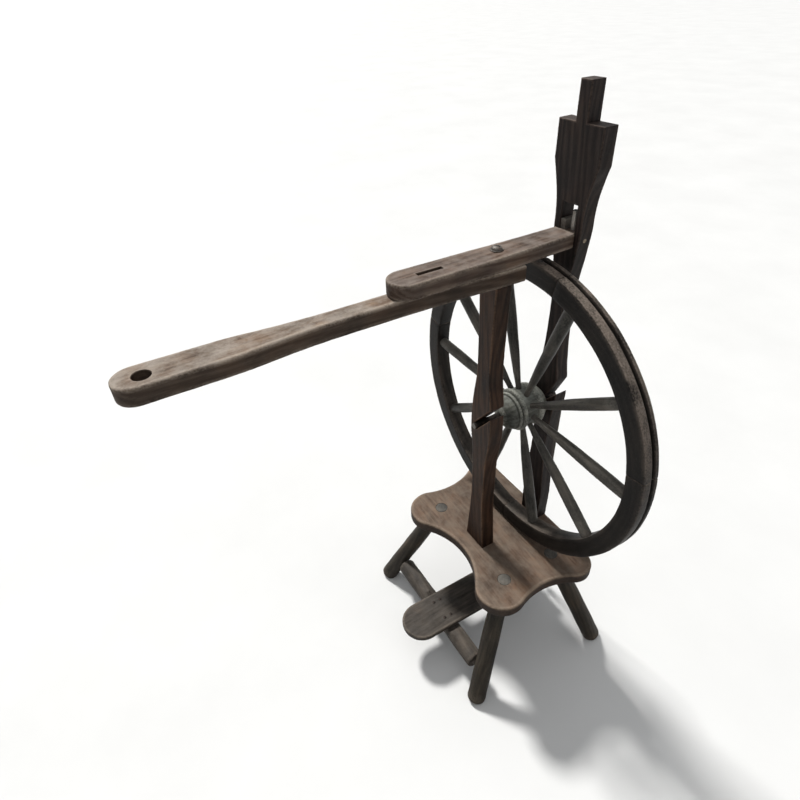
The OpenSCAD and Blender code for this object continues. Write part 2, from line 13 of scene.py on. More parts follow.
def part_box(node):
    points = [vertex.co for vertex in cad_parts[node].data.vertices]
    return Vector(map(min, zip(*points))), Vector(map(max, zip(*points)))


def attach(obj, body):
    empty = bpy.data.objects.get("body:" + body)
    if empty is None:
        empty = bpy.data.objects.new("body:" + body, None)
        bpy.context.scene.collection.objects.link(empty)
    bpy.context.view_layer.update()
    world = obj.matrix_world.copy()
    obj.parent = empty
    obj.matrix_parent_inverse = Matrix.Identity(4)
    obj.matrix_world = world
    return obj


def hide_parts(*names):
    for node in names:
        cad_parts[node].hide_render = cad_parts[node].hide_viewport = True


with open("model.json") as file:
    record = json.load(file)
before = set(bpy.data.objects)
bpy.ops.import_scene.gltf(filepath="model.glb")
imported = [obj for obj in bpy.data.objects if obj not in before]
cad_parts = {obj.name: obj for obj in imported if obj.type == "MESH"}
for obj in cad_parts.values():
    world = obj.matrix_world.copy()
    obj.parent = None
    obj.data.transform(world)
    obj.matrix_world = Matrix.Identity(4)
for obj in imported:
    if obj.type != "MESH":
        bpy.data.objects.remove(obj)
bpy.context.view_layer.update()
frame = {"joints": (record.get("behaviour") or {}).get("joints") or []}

MM = 0.001
JOINTS = {j["name"]: j for j in frame["joints"]}


def middle(node):
    """The middle of a CAD node's box, in metres."""
    low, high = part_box(node)
    return (low + high) / 2


# ---- driving sizes, millimetres

# The origin lies in the board's top face, on the posts' common centreline
FRONT_POST_Y = -34
BENCH = Vector((
    middle("bench_plank").x,
    middle("front_post").y - FRONT_POST_Y * MM,
    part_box("bench_plank")[1].z,
))


def from_bench(point):
    """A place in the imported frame, as millimetres from the bench's origin."""
    return (Vector(point) - BENCH) / MM


def joint_place(name):
    return from_bench(JOINTS[name]["pos_m"])


def corners(node):
    """The lowest and the highest corner of a CAD node's box, from the bench's origin."""
    low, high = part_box(node)
    return from_bench(low), from_bench(high)


def reach(node, axis):
    """Where a CAD node begins and ends along an axis."""
    return [corner[axis] for corner in corners(node)]


X, Y, Z = 0, 1, 2
HUB = joint_place("wheel_spin")
CRANK_PIN = joint_place("footman_hang")
BAR = joint_place("treadle_rock")
PIVOT = joint_place("distaff_arm_swing")
FLOOR = from_bench((0, 0, 0)).z
BENCH_T = 20
FRONT_POST_Y0, FRONT_POST_Y1 = reach("front_post", Y)
BACK_POST_Y0, BACK_POST_Y1 = reach("back_post", Y)
BACK_POST_Y = (BACK_POST_Y0 + BACK_POST_Y1) / 2
CROSSBAR_Z0, CROSSBAR_Z1 = reach("crossbar", Z)
ARM_Z0, ARM_Z1 = reach("distaff_arm", Z)

WHEEL_Y = from_bench(middle("felloe_1")).y
RIM_DEPTH = 28.5
RIM_R = (reach("felloe_4", X)[1] - reach("felloe_3", X)[0]) / 2
RIM_IN_R = RIM_R - RIM_DEPTH
RIM_MID_R = (RIM_IN_R + RIM_R) / 2
# Where the felloes meet and how far the first spoke stands off level, in degrees
FELLOE_ENDS = (9, 77, 167, 270, 369)
SPOKES, SPOKE_TURN = 10, -2.3

LEG_TOP_X, FRONT_LEG_Y, BACK_LEG_Y = 90.5, -52.8, 44
FRONT_LEFT_FOOT_X, FRONT_RIGHT_FOOT_X, BACK_FOOT_X = -167, 137, 152
FRONT_FOOT_Y, BACK_FOOT_Y = -132.5, 121


def leg_line(top_x, top_y, foot_x, foot_y):
    """A leg's axis, from the end of its tenon in the board's top to the floor."""
    return Vector((top_x, top_y, 0)), Vector((foot_x, foot_y, FLOOR))


LEGS = {
    "leg_front_left": leg_line(-LEG_TOP_X, FRONT_LEG_Y, FRONT_LEFT_FOOT_X, FRONT_FOOT_Y),
    "leg_front_right": leg_line(LEG_TOP_X, FRONT_LEG_Y, FRONT_RIGHT_FOOT_X, FRONT_FOOT_Y),
    "leg_back_left": leg_line(-LEG_TOP_X, BACK_LEG_Y, -BACK_FOOT_X, BACK_FOOT_Y),
    "leg_back_right": leg_line(LEG_TOP_X, BACK_LEG_Y, BACK_FOOT_X, BACK_FOOT_Y),
}


# ---- curves and outlines


def smooth(stations, steps=6):
    """Points of a smooth curve through (place, size) stations."""
    def slope(i):
        a, b = stations[max(i - 1, 0)], stations[min(i + 1, len(stations) - 1)]
        return (b[1] - a[1]) / (b[0] - a[0])

    points = []
    for i in range(len(stations) - 1):
        (x0, y0), (x1, y1) = stations[i], stations[i + 1]
        width = x1 - x0
        for k in range(steps):
            t = k / steps
            ease = (2 * t**3 - 3 * t**2 + 1, 3 * t**2 - 2 * t**3, t**3 - 2 * t**2 + t, t**3 - t**2)
            y = y0 * ease[0] + y1 * ease[1] + width * (slope(i) * ease[2] + slope(i + 1) * ease[3])
            points.append((x0 + width * t, y))
    return points + [stations[-1]]


def size_at(curve, place):
    """The curve's size at a place, between its points."""
    for (x0, y0), (x1, y1) in zip(curve, curve[1:]):
        if x0 <= place <= x1:
            return y0 + (y1 - y0) * (place - x0) / (x1 - x0)
    return curve[-1][1]


def arc(centre, radius, start, end, steps):
    """Points on an arc, angles in degrees."""
    angles = [math.radians(start + (end - start) * i / steps) for i in range(steps + 1)]
    return [(centre[0] + radius * math.cos(a), centre[1] + radius * math.sin(a)) for a in angles]


def circle(centre, radius, steps):
    return arc(centre, radius, 0, 360 * (steps - 1) / steps, steps - 1)


def tall_slot(u0, v0, u1, v1):
    """A rectangle with a point halfway up each long side."""
    waist = (v0 + v1) // 2
    return [(u0, v0), (u1, v0), (u1, waist), (u1, v1), (u0, v1), (u0, waist)]


def bearing(p, q):
    """The direction from p to q, in degrees."""
    return math.degrees(math.atan2(q[1] - p[1], q[0] - p[0]))


def touching(c0, r0, c1, r1, r):
    """The middle of a round that touches two others, on the right of the way from c0 to c1."""
    d = math.dist(c0, c1)
    u, v = (c1[0] - c0[0]) / d, (c1[1] - c0[1]) / d
    along_it = ((r0 + r)**2 - (r1 + r)**2 + d * d) / (2 * d)
    off = math.sqrt((r0 + r)**2 - along_it**2)
    return (c0[0] + u * along_it + v * off, c0[1] + v * along_it - u * off)


def counter_clockwise(loop):
    area = sum(a[0] * b[1] - b[0] * a[1] for a, b in zip(loop, loop[1:] + loop[:1]))
    return loop if area > 0 else loop[::-1]


def inside(loop, p):
    hit = False
    for (x0, y0), (x1, y1) in zip(loop, loop[1:] + loop[:1]):
        if (y0 > p[1]) != (y1 > p[1]) and p[0] < (x1 - x0) * (p[1] - y0) / (y1 - y0) + x0:
            hit = not hit
    return hit


def gap_to(loop, p):
    """Distance from a point to the nearest place on a loop."""
    best = math.inf
    for a, b in zip(loop, loop[1:] + loop[:1]):
        dx, dy = b[0] - a[0], b[1] - a[1]
        length_squared = max(dx * dx + dy * dy, 1e-9)
        t = max(0, min(1, ((p[0] - a[0]) * dx + (p[1] - a[1]) * dy) / length_squared))
        best = min(best, (p[0] - a[0] - t * dx) ** 2 + (p[1] - a[1] - t * dy) ** 2)
    return math.sqrt(best)


def inset(loop, amount):
    """The loop moved to its left by amount, with its corners kept from running away."""
    sharpest = 0.6
    moved = []
    for i, p in enumerate(loop):
        a, b, c = Vector(loop[i - 1]), Vector(p), Vector(loop[(i + 1) % len(loop)])
        d0, d1 = (b - a).normalized(), (c - b).normalized()
        n0, n1 = Vector((-d0.y, d0.x)), Vector((-d1.y, d1.x))
        way = n0 + n1
        way = way.normalized() if way.length > 1e-6 else n0
        moved.append(tuple(b + way * amount * (1 / max(way.dot(n0), sharpest))))
    return moved


# ---- mesh building


class Shape:
    """A mesh being built: points in millimetres, each with its grain place and wear, and faces."""

    def __init__(self):
        self.points, self.grain, self.wear, self.faces = [], [], [], []

    def add(self, point, grain, wear):
        self.points.append(Vector(point))
        self.grain.append(Vector(grain) * MM)
        self.wear.append(wear)
        return len(self.points) - 1

    def loft(self, rings):
        """Quads between closed rings of equal length."""
        n = len(rings[0])
        for low, high in zip(rings, rings[1:]):
            for i in range(n):
                j = (i + 1) % n
                self.faces.append((low[i], low[j], high[j], high[i]))

    def fan(self, ring, centre, flip=False):
        """Triangles from a ring to one point."""
        for i, a in enumerate(ring):
            b = ring[(i + 1) % len(ring)]
            self.faces.append((b, a, centre) if flip else (a, b, centre))

    def join(self, other):
        start = len(self.points)
        self.points += other.points
        self.grain += other.grain
        self.wear += other.wear
        self.faces += [tuple(i + start for i in f) for f in other.faces]
        return self

    def moved(self, matrix):
        self.points = [matrix @ p for p in self.points]
        return self


def handmade(shape, amount, size, seed):
    """Slight unevenness of hand tools, a little more of it on worn edges."""
    shift = Vector((seed * 7.3, seed * 3.1, seed * 5.7))
    for i, p in enumerate(shape.points):
        slow = noise.noise_vector(p / size + shift)
        quick = noise.noise_vector(p / (size * 0.22) + shift)
        shape.points[i] = p + slow * amount + quick * amount * (0.15 + 0.55 * shape.wear[i])
    return shape


HOLE_WEAR, HOLE_MARGIN = 0.35, 1.2


def edge_levels(rounding, margin, thick, worn, steps):
    """(inset, height, wear) of the rings round a board's edge, from its lower to its upper face."""
    levels = []
    for k in range(steps + 1):
        turn = math.pi / 2 * k / steps
        levels.append((rounding * (1 - math.sin(turn)), rounding * (1 - math.cos(turn)), worn))
    side_band = min(rounding + margin, thick * 0.45)
    below = [(margin + rounding, 0, 0.0)] + levels + [(0, side_band, 0.0)]
    return below + [(inwards, thick - height, wear) for inwards, height, wear in reversed(below)]


def in_board(rims, p):
    return inside(rims[0], p) and not any(inside(rim, p) for rim in rims[1:])


def inner_grid(outline, rims, spacing):
    """Staggered points over a board's face, clear of its rims."""
    us, vs = [p[0] for p in outline], [p[1] for p in outline]
    grid = []
    for row in range(int((max(vs) - min(vs)) / spacing) + 1):
        for column in range(int((max(us) - min(us)) / spacing) + 1):
            p = (min(us) + (column + 0.5 * (row % 2)) * spacing, min(vs) + row * spacing)
            if in_board(rims, p) and min(gap_to(rim, p) for rim in rims) > spacing * 0.45:
                grid.append(p)
    return grid


def plate(outline, holes=(), thick=20, rounding=2.0, spacing=7.0, grain_along="v", seed=1, hole_rounding=0.5,
          margin=2.6):
    """A board cut to an outline in (u, v), with worn round edges, from w = 0 to w = thick.

    margin is the flat strip inside the rounding where the wear fades; slender points need a small one.
    """
    shape = Shape()
    offset = Vector((seed * 37.0, seed * 23.0, seed * 91.0))

    def add(u, v, w, wear):
        place = (u, w, v) if grain_along == "v" else (v, w, u)
        return shape.add((u, v, w), Vector(place) + offset, wear)

    loops = [counter_clockwise([tuple(p) for p in outline])]
    loops += [counter_clockwise([tuple(p) for p in hole])[::-1] for hole in holes]
    outer_levels = edge_levels(rounding, margin, thick, 1.0, 4)
    hole_levels = edge_levels(hole_rounding, HOLE_MARGIN, thick, HOLE_WEAR, 2)
    lowest, highest = [], []
    for number, loop in enumerate(loops):
        rings = []
        for inwards, height, wear in hole_levels if number else outer_levels:
            flat = inset(loop, inwards) if inwards > 0 else loop
            rings.append([add(u, v, height, wear) for u, v in flat])
        shape.loft(rings)
        lowest.append(rings[0])
        highest.append(rings[-1])

    rims = [[tuple(shape.points[i][:2]) for i in ring] for ring in lowest]
    grid = inner_grid(loops[0], rims, spacing)
    for rings, w in ((lowest, 0), (highest, thick)):
        known = [i for ring in rings for i in ring]
        flat = [Vector(shape.points[i][:2]) for i in known] + [Vector(p) for p in grid]
        edges, start = [], 0
        for ring in rings:
            edges += [(start + i, start + (i + 1) % len(ring)) for i in range(len(ring))]
            start += len(ring)
        known += [add(u, v, w, 0.0) for u, v in grid]
        made, _, faces, origins, _, _ = geometry.delaunay_2d_cdt(flat, edges, [], 0, 1e-5)
        for face in faces:
            centre = sum((Vector(made[i]) for i in face), Vector((0, 0))) / len(face)
            loop = [known[origins[i][0]] for i in face if origins[i]]
            if in_board(rims, centre) and len(loop) == len(face):
                shape.faces.append(tuple(loop if w else loop[::-1]))
    return shape


def turned(stations, steps=40, seed=1, ends=(True, True), wear=None):
    """A turned piece round Z from (z, radius) stations. wear gives a station's wear from its place."""
    shape = Shape()
    offset = Vector((seed * 31.0, seed * 17.0, seed * 73.0))
    rings = []
    for z, r in stations:
        worn = wear(z) if wear else 0.0
        angles = [2 * math.pi * i / steps for i in range(steps)]
        ring = [(r * math.cos(a), r * math.sin(a), z) for a in angles]
        rings.append([shape.add(p, Vector(p) + offset, worn) for p in ring])
    shape.loft(rings)
    for end, ring, place in ((0, rings[0], stations[0]), (1, rings[-1], stations[-1])):
        if ends[end]:
            p = (0, 0, place[0])
            worn = wear(place[0]) if wear else 0.0
            shape.fan(ring, shape.add(p, Vector(p) + offset, worn), flip=(end == 0))
    return shape


def block(low, high, rounding=0.6, seed=1):
    """A small squared piece with eased edges, between two corners."""
    (x0, y0, z0), (x1, y1, z1) = low, high
    outline = [(x0, y0), (x1, y0), (x1, y1), (x0, y1)]
    made = plate(outline, (), z1 - z0, rounding, 30, "v", seed)
    return made.moved(set_at((0, 0, z0)))


def tube(points, radii, steps=20, seed=1):
    """A round bar along a path, with its grain along the path."""
    shape = Shape()
    offset = Vector((seed * 29.0, seed * 11.0, seed * 57.0))
    rings, run = [], 0.0
    side = Vector((1, 0, 0))
    for i, p in enumerate(points):
        ahead = (Vector(points[min(i + 1, len(points) - 1)]) - Vector(points[max(i - 1, 0)])).normalized()
        side = (side - ahead * side.dot(ahead)).normalized()
        up = ahead.cross(side)
        run += (Vector(p) - Vector(points[i - 1])).length if i else 0
        ring = []
        for k in range(steps):
            a = 2 * math.pi * k / steps
            out = (side * math.cos(a) + up * math.sin(a)) * radii[i]
            grain = Vector((math.cos(a) * radii[i], math.sin(a) * radii[i], run)) + offset
            ring.append(shape.add(Vector(p) + out, grain, 0.0))
        rings.append(ring)
    shape.loft(rings)
    shape.fan(rings[0], shape.add(points[0], offset, 0.0), flip=True)
    shape.fan(rings[-1], shape.add(points[-1], offset, 0.0))
    return shape


def along(start, end):
    """The matrix that lays Z along the line from start to end."""
    d = Vector(end) - Vector(start)
    return Matrix.Translation(start) @ d.to_track_quat("Z", "Y").to_matrix().to_4x4()


# Lays a turned piece's Z along the bench, or towards its front or its back
TO_RIGHT = Matrix.Rotation(math.pi / 2, 4, "Y")
TO_FRONT = Matrix.Rotation(math.pi / 2, 4, "X")
TO_BACK = Matrix.Rotation(-math.pi / 2, 4, "X")


def set_at(place, turn=Matrix.Identity(4)):
    """The matrix that turns a piece and then sets it at a place."""
    return Matrix.Translation(place) @ turn


def standing(y):
    """Stands a plate up: u to X, v to Z, and its thickness towards the front from y."""
    return set_at((0, y, 0), TO_FRONT)


def piece(name, shape, body, material, replaces=(), sharp=38):
    """Links a shape as a piece that rides on a body and stands for CAD nodes."""
    mesh = bpy.data.meshes.new(name)
    places = [BENCH + p * MM for p in shape.points]
    mesh.from_pydata(places, [], shape.faces)
    mesh.validate()
    grain = mesh.attributes.new("grain", "FLOAT_VECTOR", "POINT")
    grain.data.foreach_set("vector", [c for g in shape.grain for c in g])
    wear = mesh.attributes.new("wear", "FLOAT", "POINT")
    wear.data.foreach_set("value", shape.wear)
    mesh.shade_smooth()
    mesh.set_sharp_from_angle(angle=math.radians(sharp))
    mesh.materials.append(material)
    mesh.update()
    obj = bpy.data.objects.new(name, mesh)
    bpy.context.scene.collection.objects.link(obj)
    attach(obj, body)
    if replaces:
        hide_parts(*replaces)


# ---- materials


def linear(r, g, b):
    """A colour given as 0 to 255 screen values, as the shader's linear values."""
    def one(c):
        c /= 255
        return c / 12.92 if c <= 0.04045 else ((c + 0.055) / 1.055) ** 2.4
    return (one(r), one(g), one(b), 1.0)


class Nodes:
    """Short calls to build a shader tree."""

    def __init__(self, name):
        self.material = bpy.data.materials.new(name)
        self.material.use_nodes = True
        self.tree = self.material.node_tree
        self.shader = self.tree.nodes["Principled BSDF"]

    def feed(self, socket, value):
        if isinstance(value, bpy.types.NodeSocket):
            self.tree.links.new(value, socket)
        else:
            socket.default_value = value

    def node(self, kind, inputs, output=0, **settings):
        made = self.tree.nodes.new(kind)
        for key, value in settings.items():
            setattr(made, key, value)
        for key, value in inputs.items():
            self.feed(made.inputs[key], value)
        return made.outputs[output]

    def grain(self, stretch):
        """The place in the wood, drawn out along the grain."""
        place = self.node("ShaderNodeAttribute", {}, "Vector", attribute_name="grain")
        return self.node("ShaderNodeVectorMath", {0: place, 1: (1, 1, stretch)}, operation="MULTIPLY")

    def noise(self, vector, scale, detail=4.0, rough=0.55, distortion=0.0):
        inputs = {"Vector": vector, "Scale": scale, "Detail": detail, "Roughness": rough}
        inputs["Distortion"] = distortion
        return self.node("ShaderNodeTexNoise", inputs, "Fac")

    def ramp(self, value, *stops):
        """Maps a value through (place, colour or number) stops."""
        made = self.tree.nodes.new("ShaderNodeValToRGB")
        self.feed(made.inputs["Fac"], value)
        elements = made.color_ramp.elements
        while len(elements) < len(stops):
            elements.new(0.5)
        for element, (place, colour) in zip(elements, stops):
            element.position = place
            element.color = colour if isinstance(colour, tuple) else (colour, colour, colour, 1)
        return made.outputs["Color"]

    def math(self, operation, a, b=0.0, clamp=False):
        return self.node("ShaderNodeMath", {0: a, 1: b}, operation=operation, use_clamp=clamp)

    def mix(self, share, a, b, blend="MIX"):
        made = self.tree.nodes.new("ShaderNodeMix")
        made.data_type = "RGBA"
        made.blend_type = blend
        self.feed(made.inputs[0], share)
        self.feed(made.inputs[6], a)
        self.feed(made.inputs[7], b)
        return made.outputs[2]

    def bump(self, height, strength, depth):
        inputs = {"Height": height, "Strength": strength, "Distance": depth}
        self.feed(self.shader.inputs["Normal"], self.node("ShaderNodeBump", inputs, "Normal"))


DEEP_GRIME, NO_GRIME, THIN_GRIME = (0.54, 0.57, 0.60, 1), (1, 1, 1, 1), (1.40, 1.27, 1.15, 1)
# Painted shade: the tint that darkens the faces that look sideways or down
SIDE_SHADE_TINT = (0.15, 0.14, 0.14, 1)


def wood(name, dark, mid, light, worn, dust, wear_amount=0.8, dust_amount=0.3, rings=0.35, gloss=0.0,
         painted_side_shade=0.0):
    """Old wood under a stain: growth bands, fibres, pores, grime blotches, worn edges and settled dust.

    The last argument paints shade on the faces that look sideways or down, and holds back the worn colour
    there.
    """
    n = Nodes(name)
    dark, mid, light, worn, dust = (linear(*shade) for shade in (dark, mid, light, worn, dust))
    figure = n.grain(0.10)
    slow = n.noise(figure, 55.0, 3.0, 0.5, 0.4)
    bands = n.noise(figure, 190.0, 3.0, 0.55, 0.6)
    fibres = n.noise(n.grain(0.025), 1500.0, 3.0, 0.6)
    pores = n.noise(n.grain(0.05), 2600.0, 2.0, 0.5)
    blotch = n.noise(n.grain(0.7), 22.0, 5.0, 0.6, 0.3)
    specks = n.noise(n.grain(0.9), 420.0, 3.0, 0.6)
    ring_inputs = {"Vector": figure, "Scale": 62.0, "Distortion": 7.0, "Detail": 3.0, "Detail Scale": 1.2}
    growth = n.node("ShaderNodeTexWave", ring_inputs, "Fac", bands_direction="DIAGONAL")

    tone = n.math("ADD", n.math("MULTIPLY", bands, 0.55), n.math("MULTIPLY", slow, 0.45))
    tone = n.math("ADD", n.math("MULTIPLY", tone, 1 - rings), n.math("MULTIPLY", growth, rings))
    tone = n.math("ADD", tone, n.math("MULTIPLY", n.math("SUBTRACT", fibres, 0.5), 0.55))
    colour = n.ramp(tone, (0.25, dark), (0.5, mid), (0.78, light))
    grime = n.ramp(blotch, (0.34, DEEP_GRIME), (0.52, NO_GRIME), (0.70, THIN_GRIME))
    colour = n.mix(0.85, colour, grime, "MULTIPLY")
    pore_mask = n.ramp(pores, (0.60, 0.0), (0.70, 1.0))
    colour = n.mix(n.math("MULTIPLY", pore_mask, 0.45), colour, n.mix(0.7, colour, dark, "MULTIPLY"))
    up = n.node("ShaderNodeSeparateXYZ", {0: n.node("ShaderNodeTexCoord", {}, "Normal")}, "Z")
    height_facing = n.math("ADD", n.math("MULTIPLY", up, 0.5), 0.5)
    # Painted shade: a mask of the faces that look sideways or down, darkened by the side-shade amount
    shade_facing_mask = n.ramp(height_facing, (0.45, 1.0), (0.62, 0.75), (0.88, 0.0))
    side_shaded_colour = n.mix(1.0, colour, SIDE_SHADE_TINT, "MULTIPLY")
    colour = n.mix(n.math("MULTIPLY", shade_facing_mask, painted_side_shade), colour, side_shaded_colour)

    wear = n.node("ShaderNodeAttribute", {}, "Fac", attribute_name="wear")
    patchy = n.ramp(n.math("ADD", n.math("MULTIPLY", blotch, 0.6), n.math("MULTIPLY", specks, 0.4)),
                    (0.40, 0.0), (0.58, 1.0))
    worn_mask = n.math("MULTIPLY", n.math("MULTIPLY", wear, patchy), wear_amount, clamp=True)
    # The painted side shade also holds back the worn colour on those faces
    side_shade_over_wear = n.math("MULTIPLY", shade_facing_mask, painted_side_shade * 0.85)
    worn_mask = n.math("MULTIPLY", worn_mask, n.math("SUBTRACT", 1.0, side_shade_over_wear))
    streaks = n.ramp(fibres, (0.3, 0.75), (0.7, 1.15))
    colour = n.mix(worn_mask, colour, n.mix(0.35, worn, streaks, "MULTIPLY"))

    settled = n.ramp(up, (0.35, 0.0), (0.95, 1.0))
    powder = n.ramp(n.noise(n.grain(0.8), 60.0, 6.0, 0.7), (0.38, 0.0), (0.66, 1.0))
    dust_mask = n.math("MULTIPLY", n.math("MULTIPLY", settled, powder), dust_amount, clamp=True)
    colour = n.mix(dust_mask, colour, dust)
    n.feed(n.shader.inputs["Base Color"], colour)

    rough = n.math("ADD", n.math("MULTIPLY", fibres, 0.22), n.math("MULTIPLY", blotch, 0.25))
    rough = n.math("ADD", rough, 0.36 - gloss)
    rough = n.math("ADD", rough, n.math("MULTIPLY", dust_mask, 0.35), clamp=True)
    n.feed(n.shader.inputs["Roughness"], rough)
    n.shader.inputs["Specular IOR Level"].default_value = 0.11
    height = n.math("ADD", n.math("MULTIPLY", bands, 0.5), n.math("MULTIPLY", fibres, 0.35))
    height = n.math("ADD", height, n.math("MULTIPLY", specks, 0.22))
    height = n.math("SUBTRACT", height, n.math("MULTIPLY", pore_mask, 0.30))
    n.bump(height, 0.45, 0.0007)
    return n.material


def metal(name, dark, light, rust, shine=0.42, rust_share=0.5):
    """Old iron: brushed and dull, with freckles of rust."""
    n = Nodes(name)
    dark, light, rust = (linear(*shade) for shade in (dark, light, rust))
    place = n.grain(0.6)
    cloud = n.noise(place, 120.0, 5.0, 0.6)
    grit = n.noise(place, 900.0, 4.0, 0.65)
    freckles = n.ramp(n.noise(place, 300.0, 5.0, 0.7), (0.50, 0.0), (0.62, 1.0))
    colour = n.ramp(n.math("ADD", n.math("MULTIPLY", cloud, 0.6), n.math("MULTIPLY", grit, 0.4)),
                    (0.35, dark), (0.65, light))
    spots = n.math("MULTIPLY", freckles, rust_share)
    colour = n.mix(spots, colour, rust)
    n.feed(n.shader.inputs["Base Color"], colour)
    n.feed(n.shader.inputs["Metallic"], n.math("SUBTRACT", 0.75, n.math("MULTIPLY", spots, 0.7), clamp=True))
    n.feed(n.shader.inputs["Roughness"], n.math("ADD", n.math("MULTIPLY", grit, 0.3), shine, clamp=True))
    n.bump(n.math("ADD", n.math("MULTIPLY", grit, 0.5), n.math("MULTIPLY", freckles, 0.3)), 0.35, 0.0003)
    return n.material


DUST = (118, 112, 104)
BENCH_WOOD = wood(
    "bench_wood", (76, 60, 49), (102, 84, 71), (122, 104, 89), (146, 129, 112), (128, 118, 106),
    0.7, 0.45, 0.06, painted_side_shade=1.0,
)
LEG_WOOD = wood(
    "leg_wood", (34, 29, 24), (54, 48, 40), (74, 67, 57), (104, 94, 82), DUST,
    0.7, 0.2, 0.2, 0.05, painted_side_shade=0.5,
)
FRONT_POST_WOOD = wood(
    "front_post_wood", (38, 23, 15), (68, 47, 34), (90, 66, 50), (126, 102, 82), DUST,
    0.6, 0.1, 0.25, 0.06, painted_side_shade=0.7,
)
BACK_POST_WOOD = wood(
    "back_post_wood", (36, 28, 25), (60, 49, 45), (80, 68, 62), (112, 96, 85), DUST,
    0.6, 0.2, 0.3, 0.06, painted_side_shade=0.8,
)
CROSSBAR_WOOD = wood(
    "crossbar_wood", (70, 54, 44), (98, 81, 70), (122, 107, 95), (150, 138, 125), (140, 131, 124),
    0.85, 0.6, 0.25, painted_side_shade=0.6,
)
ARM_WOOD = wood(
    "arm_wood", (80, 63, 50), (108, 91, 77), (136, 120, 105), (170, 157, 143), (160, 151, 141),
    0.9, 0.85, 0.2, painted_side_shade=0.9,
)
HUB_WOOD = wood(
    "hub_wood", (62, 61, 55), (96, 97, 90), (126, 128, 121), (164, 163, 153), (148, 151, 144),
    0.95, 0.6, 0.15, painted_side_shade=0.6,
)
RIM_WOOD = wood(
    "rim_wood", (26, 23, 20), (44, 40, 36), (66, 60, 55), (142, 129, 118), (114, 107, 99),
    0.95, 0.35, 0.2, 0.1, painted_side_shade=1.0,
)
SPOKE_WOOD = wood(
    "spoke_wood", (34, 33, 30), (56, 54, 50), (80, 77, 72), (124, 119, 111), DUST,
    0.8, 0.3, 0.12, 0.2, painted_side_shade=0.35,
)
TREADLE_WOOD = wood(
    "treadle_wood", (48, 42, 38), (68, 62, 56), (90, 83, 76), (120, 110, 99), (98, 94, 89),
    0.75, 0.3, 0.12, 0.05, painted_side_shade=0.5,
)
PALE_WOOD = wood(
    "pale_wood", (104, 90, 74), (138, 124, 106), (164, 151, 133), (176, 165, 148), DUST,
    0.3, 0.2, 0.2,
)
END_WOOD = wood(
    "tenon_wood", (64, 61, 57), (86, 83, 78), (104, 101, 96), (116, 112, 105), DUST,
    0.4, 0.3, 0.1,
)
# Painted shade: near-black wood for the discs that stand where the keeper holes' insides lie in shade
HOLE_SHADE = wood(
    "painted_hole_shade", (8, 7, 6), (14, 12, 11), (20, 18, 16), (22, 20, 18), (20, 18, 16),
    0.1, 0.1, 0.1,
)
IRON = metal("iron", (62, 59, 56), (120, 116, 111), (96, 74, 58))
DARK_IRON = metal("dark_iron", (30, 27, 25), (52, 47, 43), (62, 46, 36), 0.6, 0.8)
BARE_IRON = metal("bare_iron", (120, 117, 112), (182, 179, 172), (120, 100, 84), 0.32, 0.3)


# ---- bench and legs


FRONT_LOBE, FRONT_LOBE_R = (98.6, -66), 40.3
BACK_LOBE, BACK_LOBE_R = (119, 64), 31
FRONT_SCOOP_Y, SIDE_SCOOP_R = -71, 110
LEG_HOLE_R, LEG_TENON_R = 10.9, 10.2
LEG_R, LEG_SWELL, LEG_UNEVEN = 14.0, 1.5, 0.25


def bench_outline():
    """Lobes at the corners, with touching scoops at the front and the sides and a straight back."""
    lift = FRONT_LOBE[1] - FRONT_SCOOP_Y
    scoop_r = (FRONT_LOBE[0]**2 + lift**2 - FRONT_LOBE_R**2) / (2 * (FRONT_LOBE_R - lift))
    scoop = (0, FRONT_SCOOP_Y - scoop_r)
    side = touching(FRONT_LOBE, FRONT_LOBE_R, BACK_LOBE, BACK_LOBE_R, SIDE_SCOOP_R)
    right = arc(scoop, scoop_r, 90, bearing(scoop, FRONT_LOBE), 12)
    right += arc(FRONT_LOBE, FRONT_LOBE_R, bearing(FRONT_LOBE, scoop), bearing(FRONT_LOBE, side), 24)[1:]
    right += arc(side, SIDE_SCOOP_R, bearing(side, FRONT_LOBE) + 360, bearing(side, BACK_LOBE), 14)[1:]
    right += arc(BACK_LOBE, BACK_LOBE_R, bearing(BACK_LOBE, side), 90, 16)[1:]
    back = BACK_LOBE[1] + BACK_LOBE_R
    right += [(BACK_LOBE[0] * k / 12, back) for k in range(11, -1, -1)]
    return right + [(-u, v) for u, v in right[-2:0:-1]]


def make_bench():
    holes = [circle(top.xy, LEG_HOLE_R, 24) for top, _ in LEGS.values()]
    board = plate(bench_outline(), holes, BENCH_T, 3.2, 8.0, "u", 3)
    board.moved(set_at((0, 0, -BENCH_T)))
    for i, p in enumerate(board.points):
        if board.wear[i] > 0.9 and p.z < -BENCH_T / 2:
            board.wear[i] = 0.3
    piece("bench_plank", handmade(board, 0.35, 60, 2), "frame", BENCH_WOOD, ["bench_plank"])


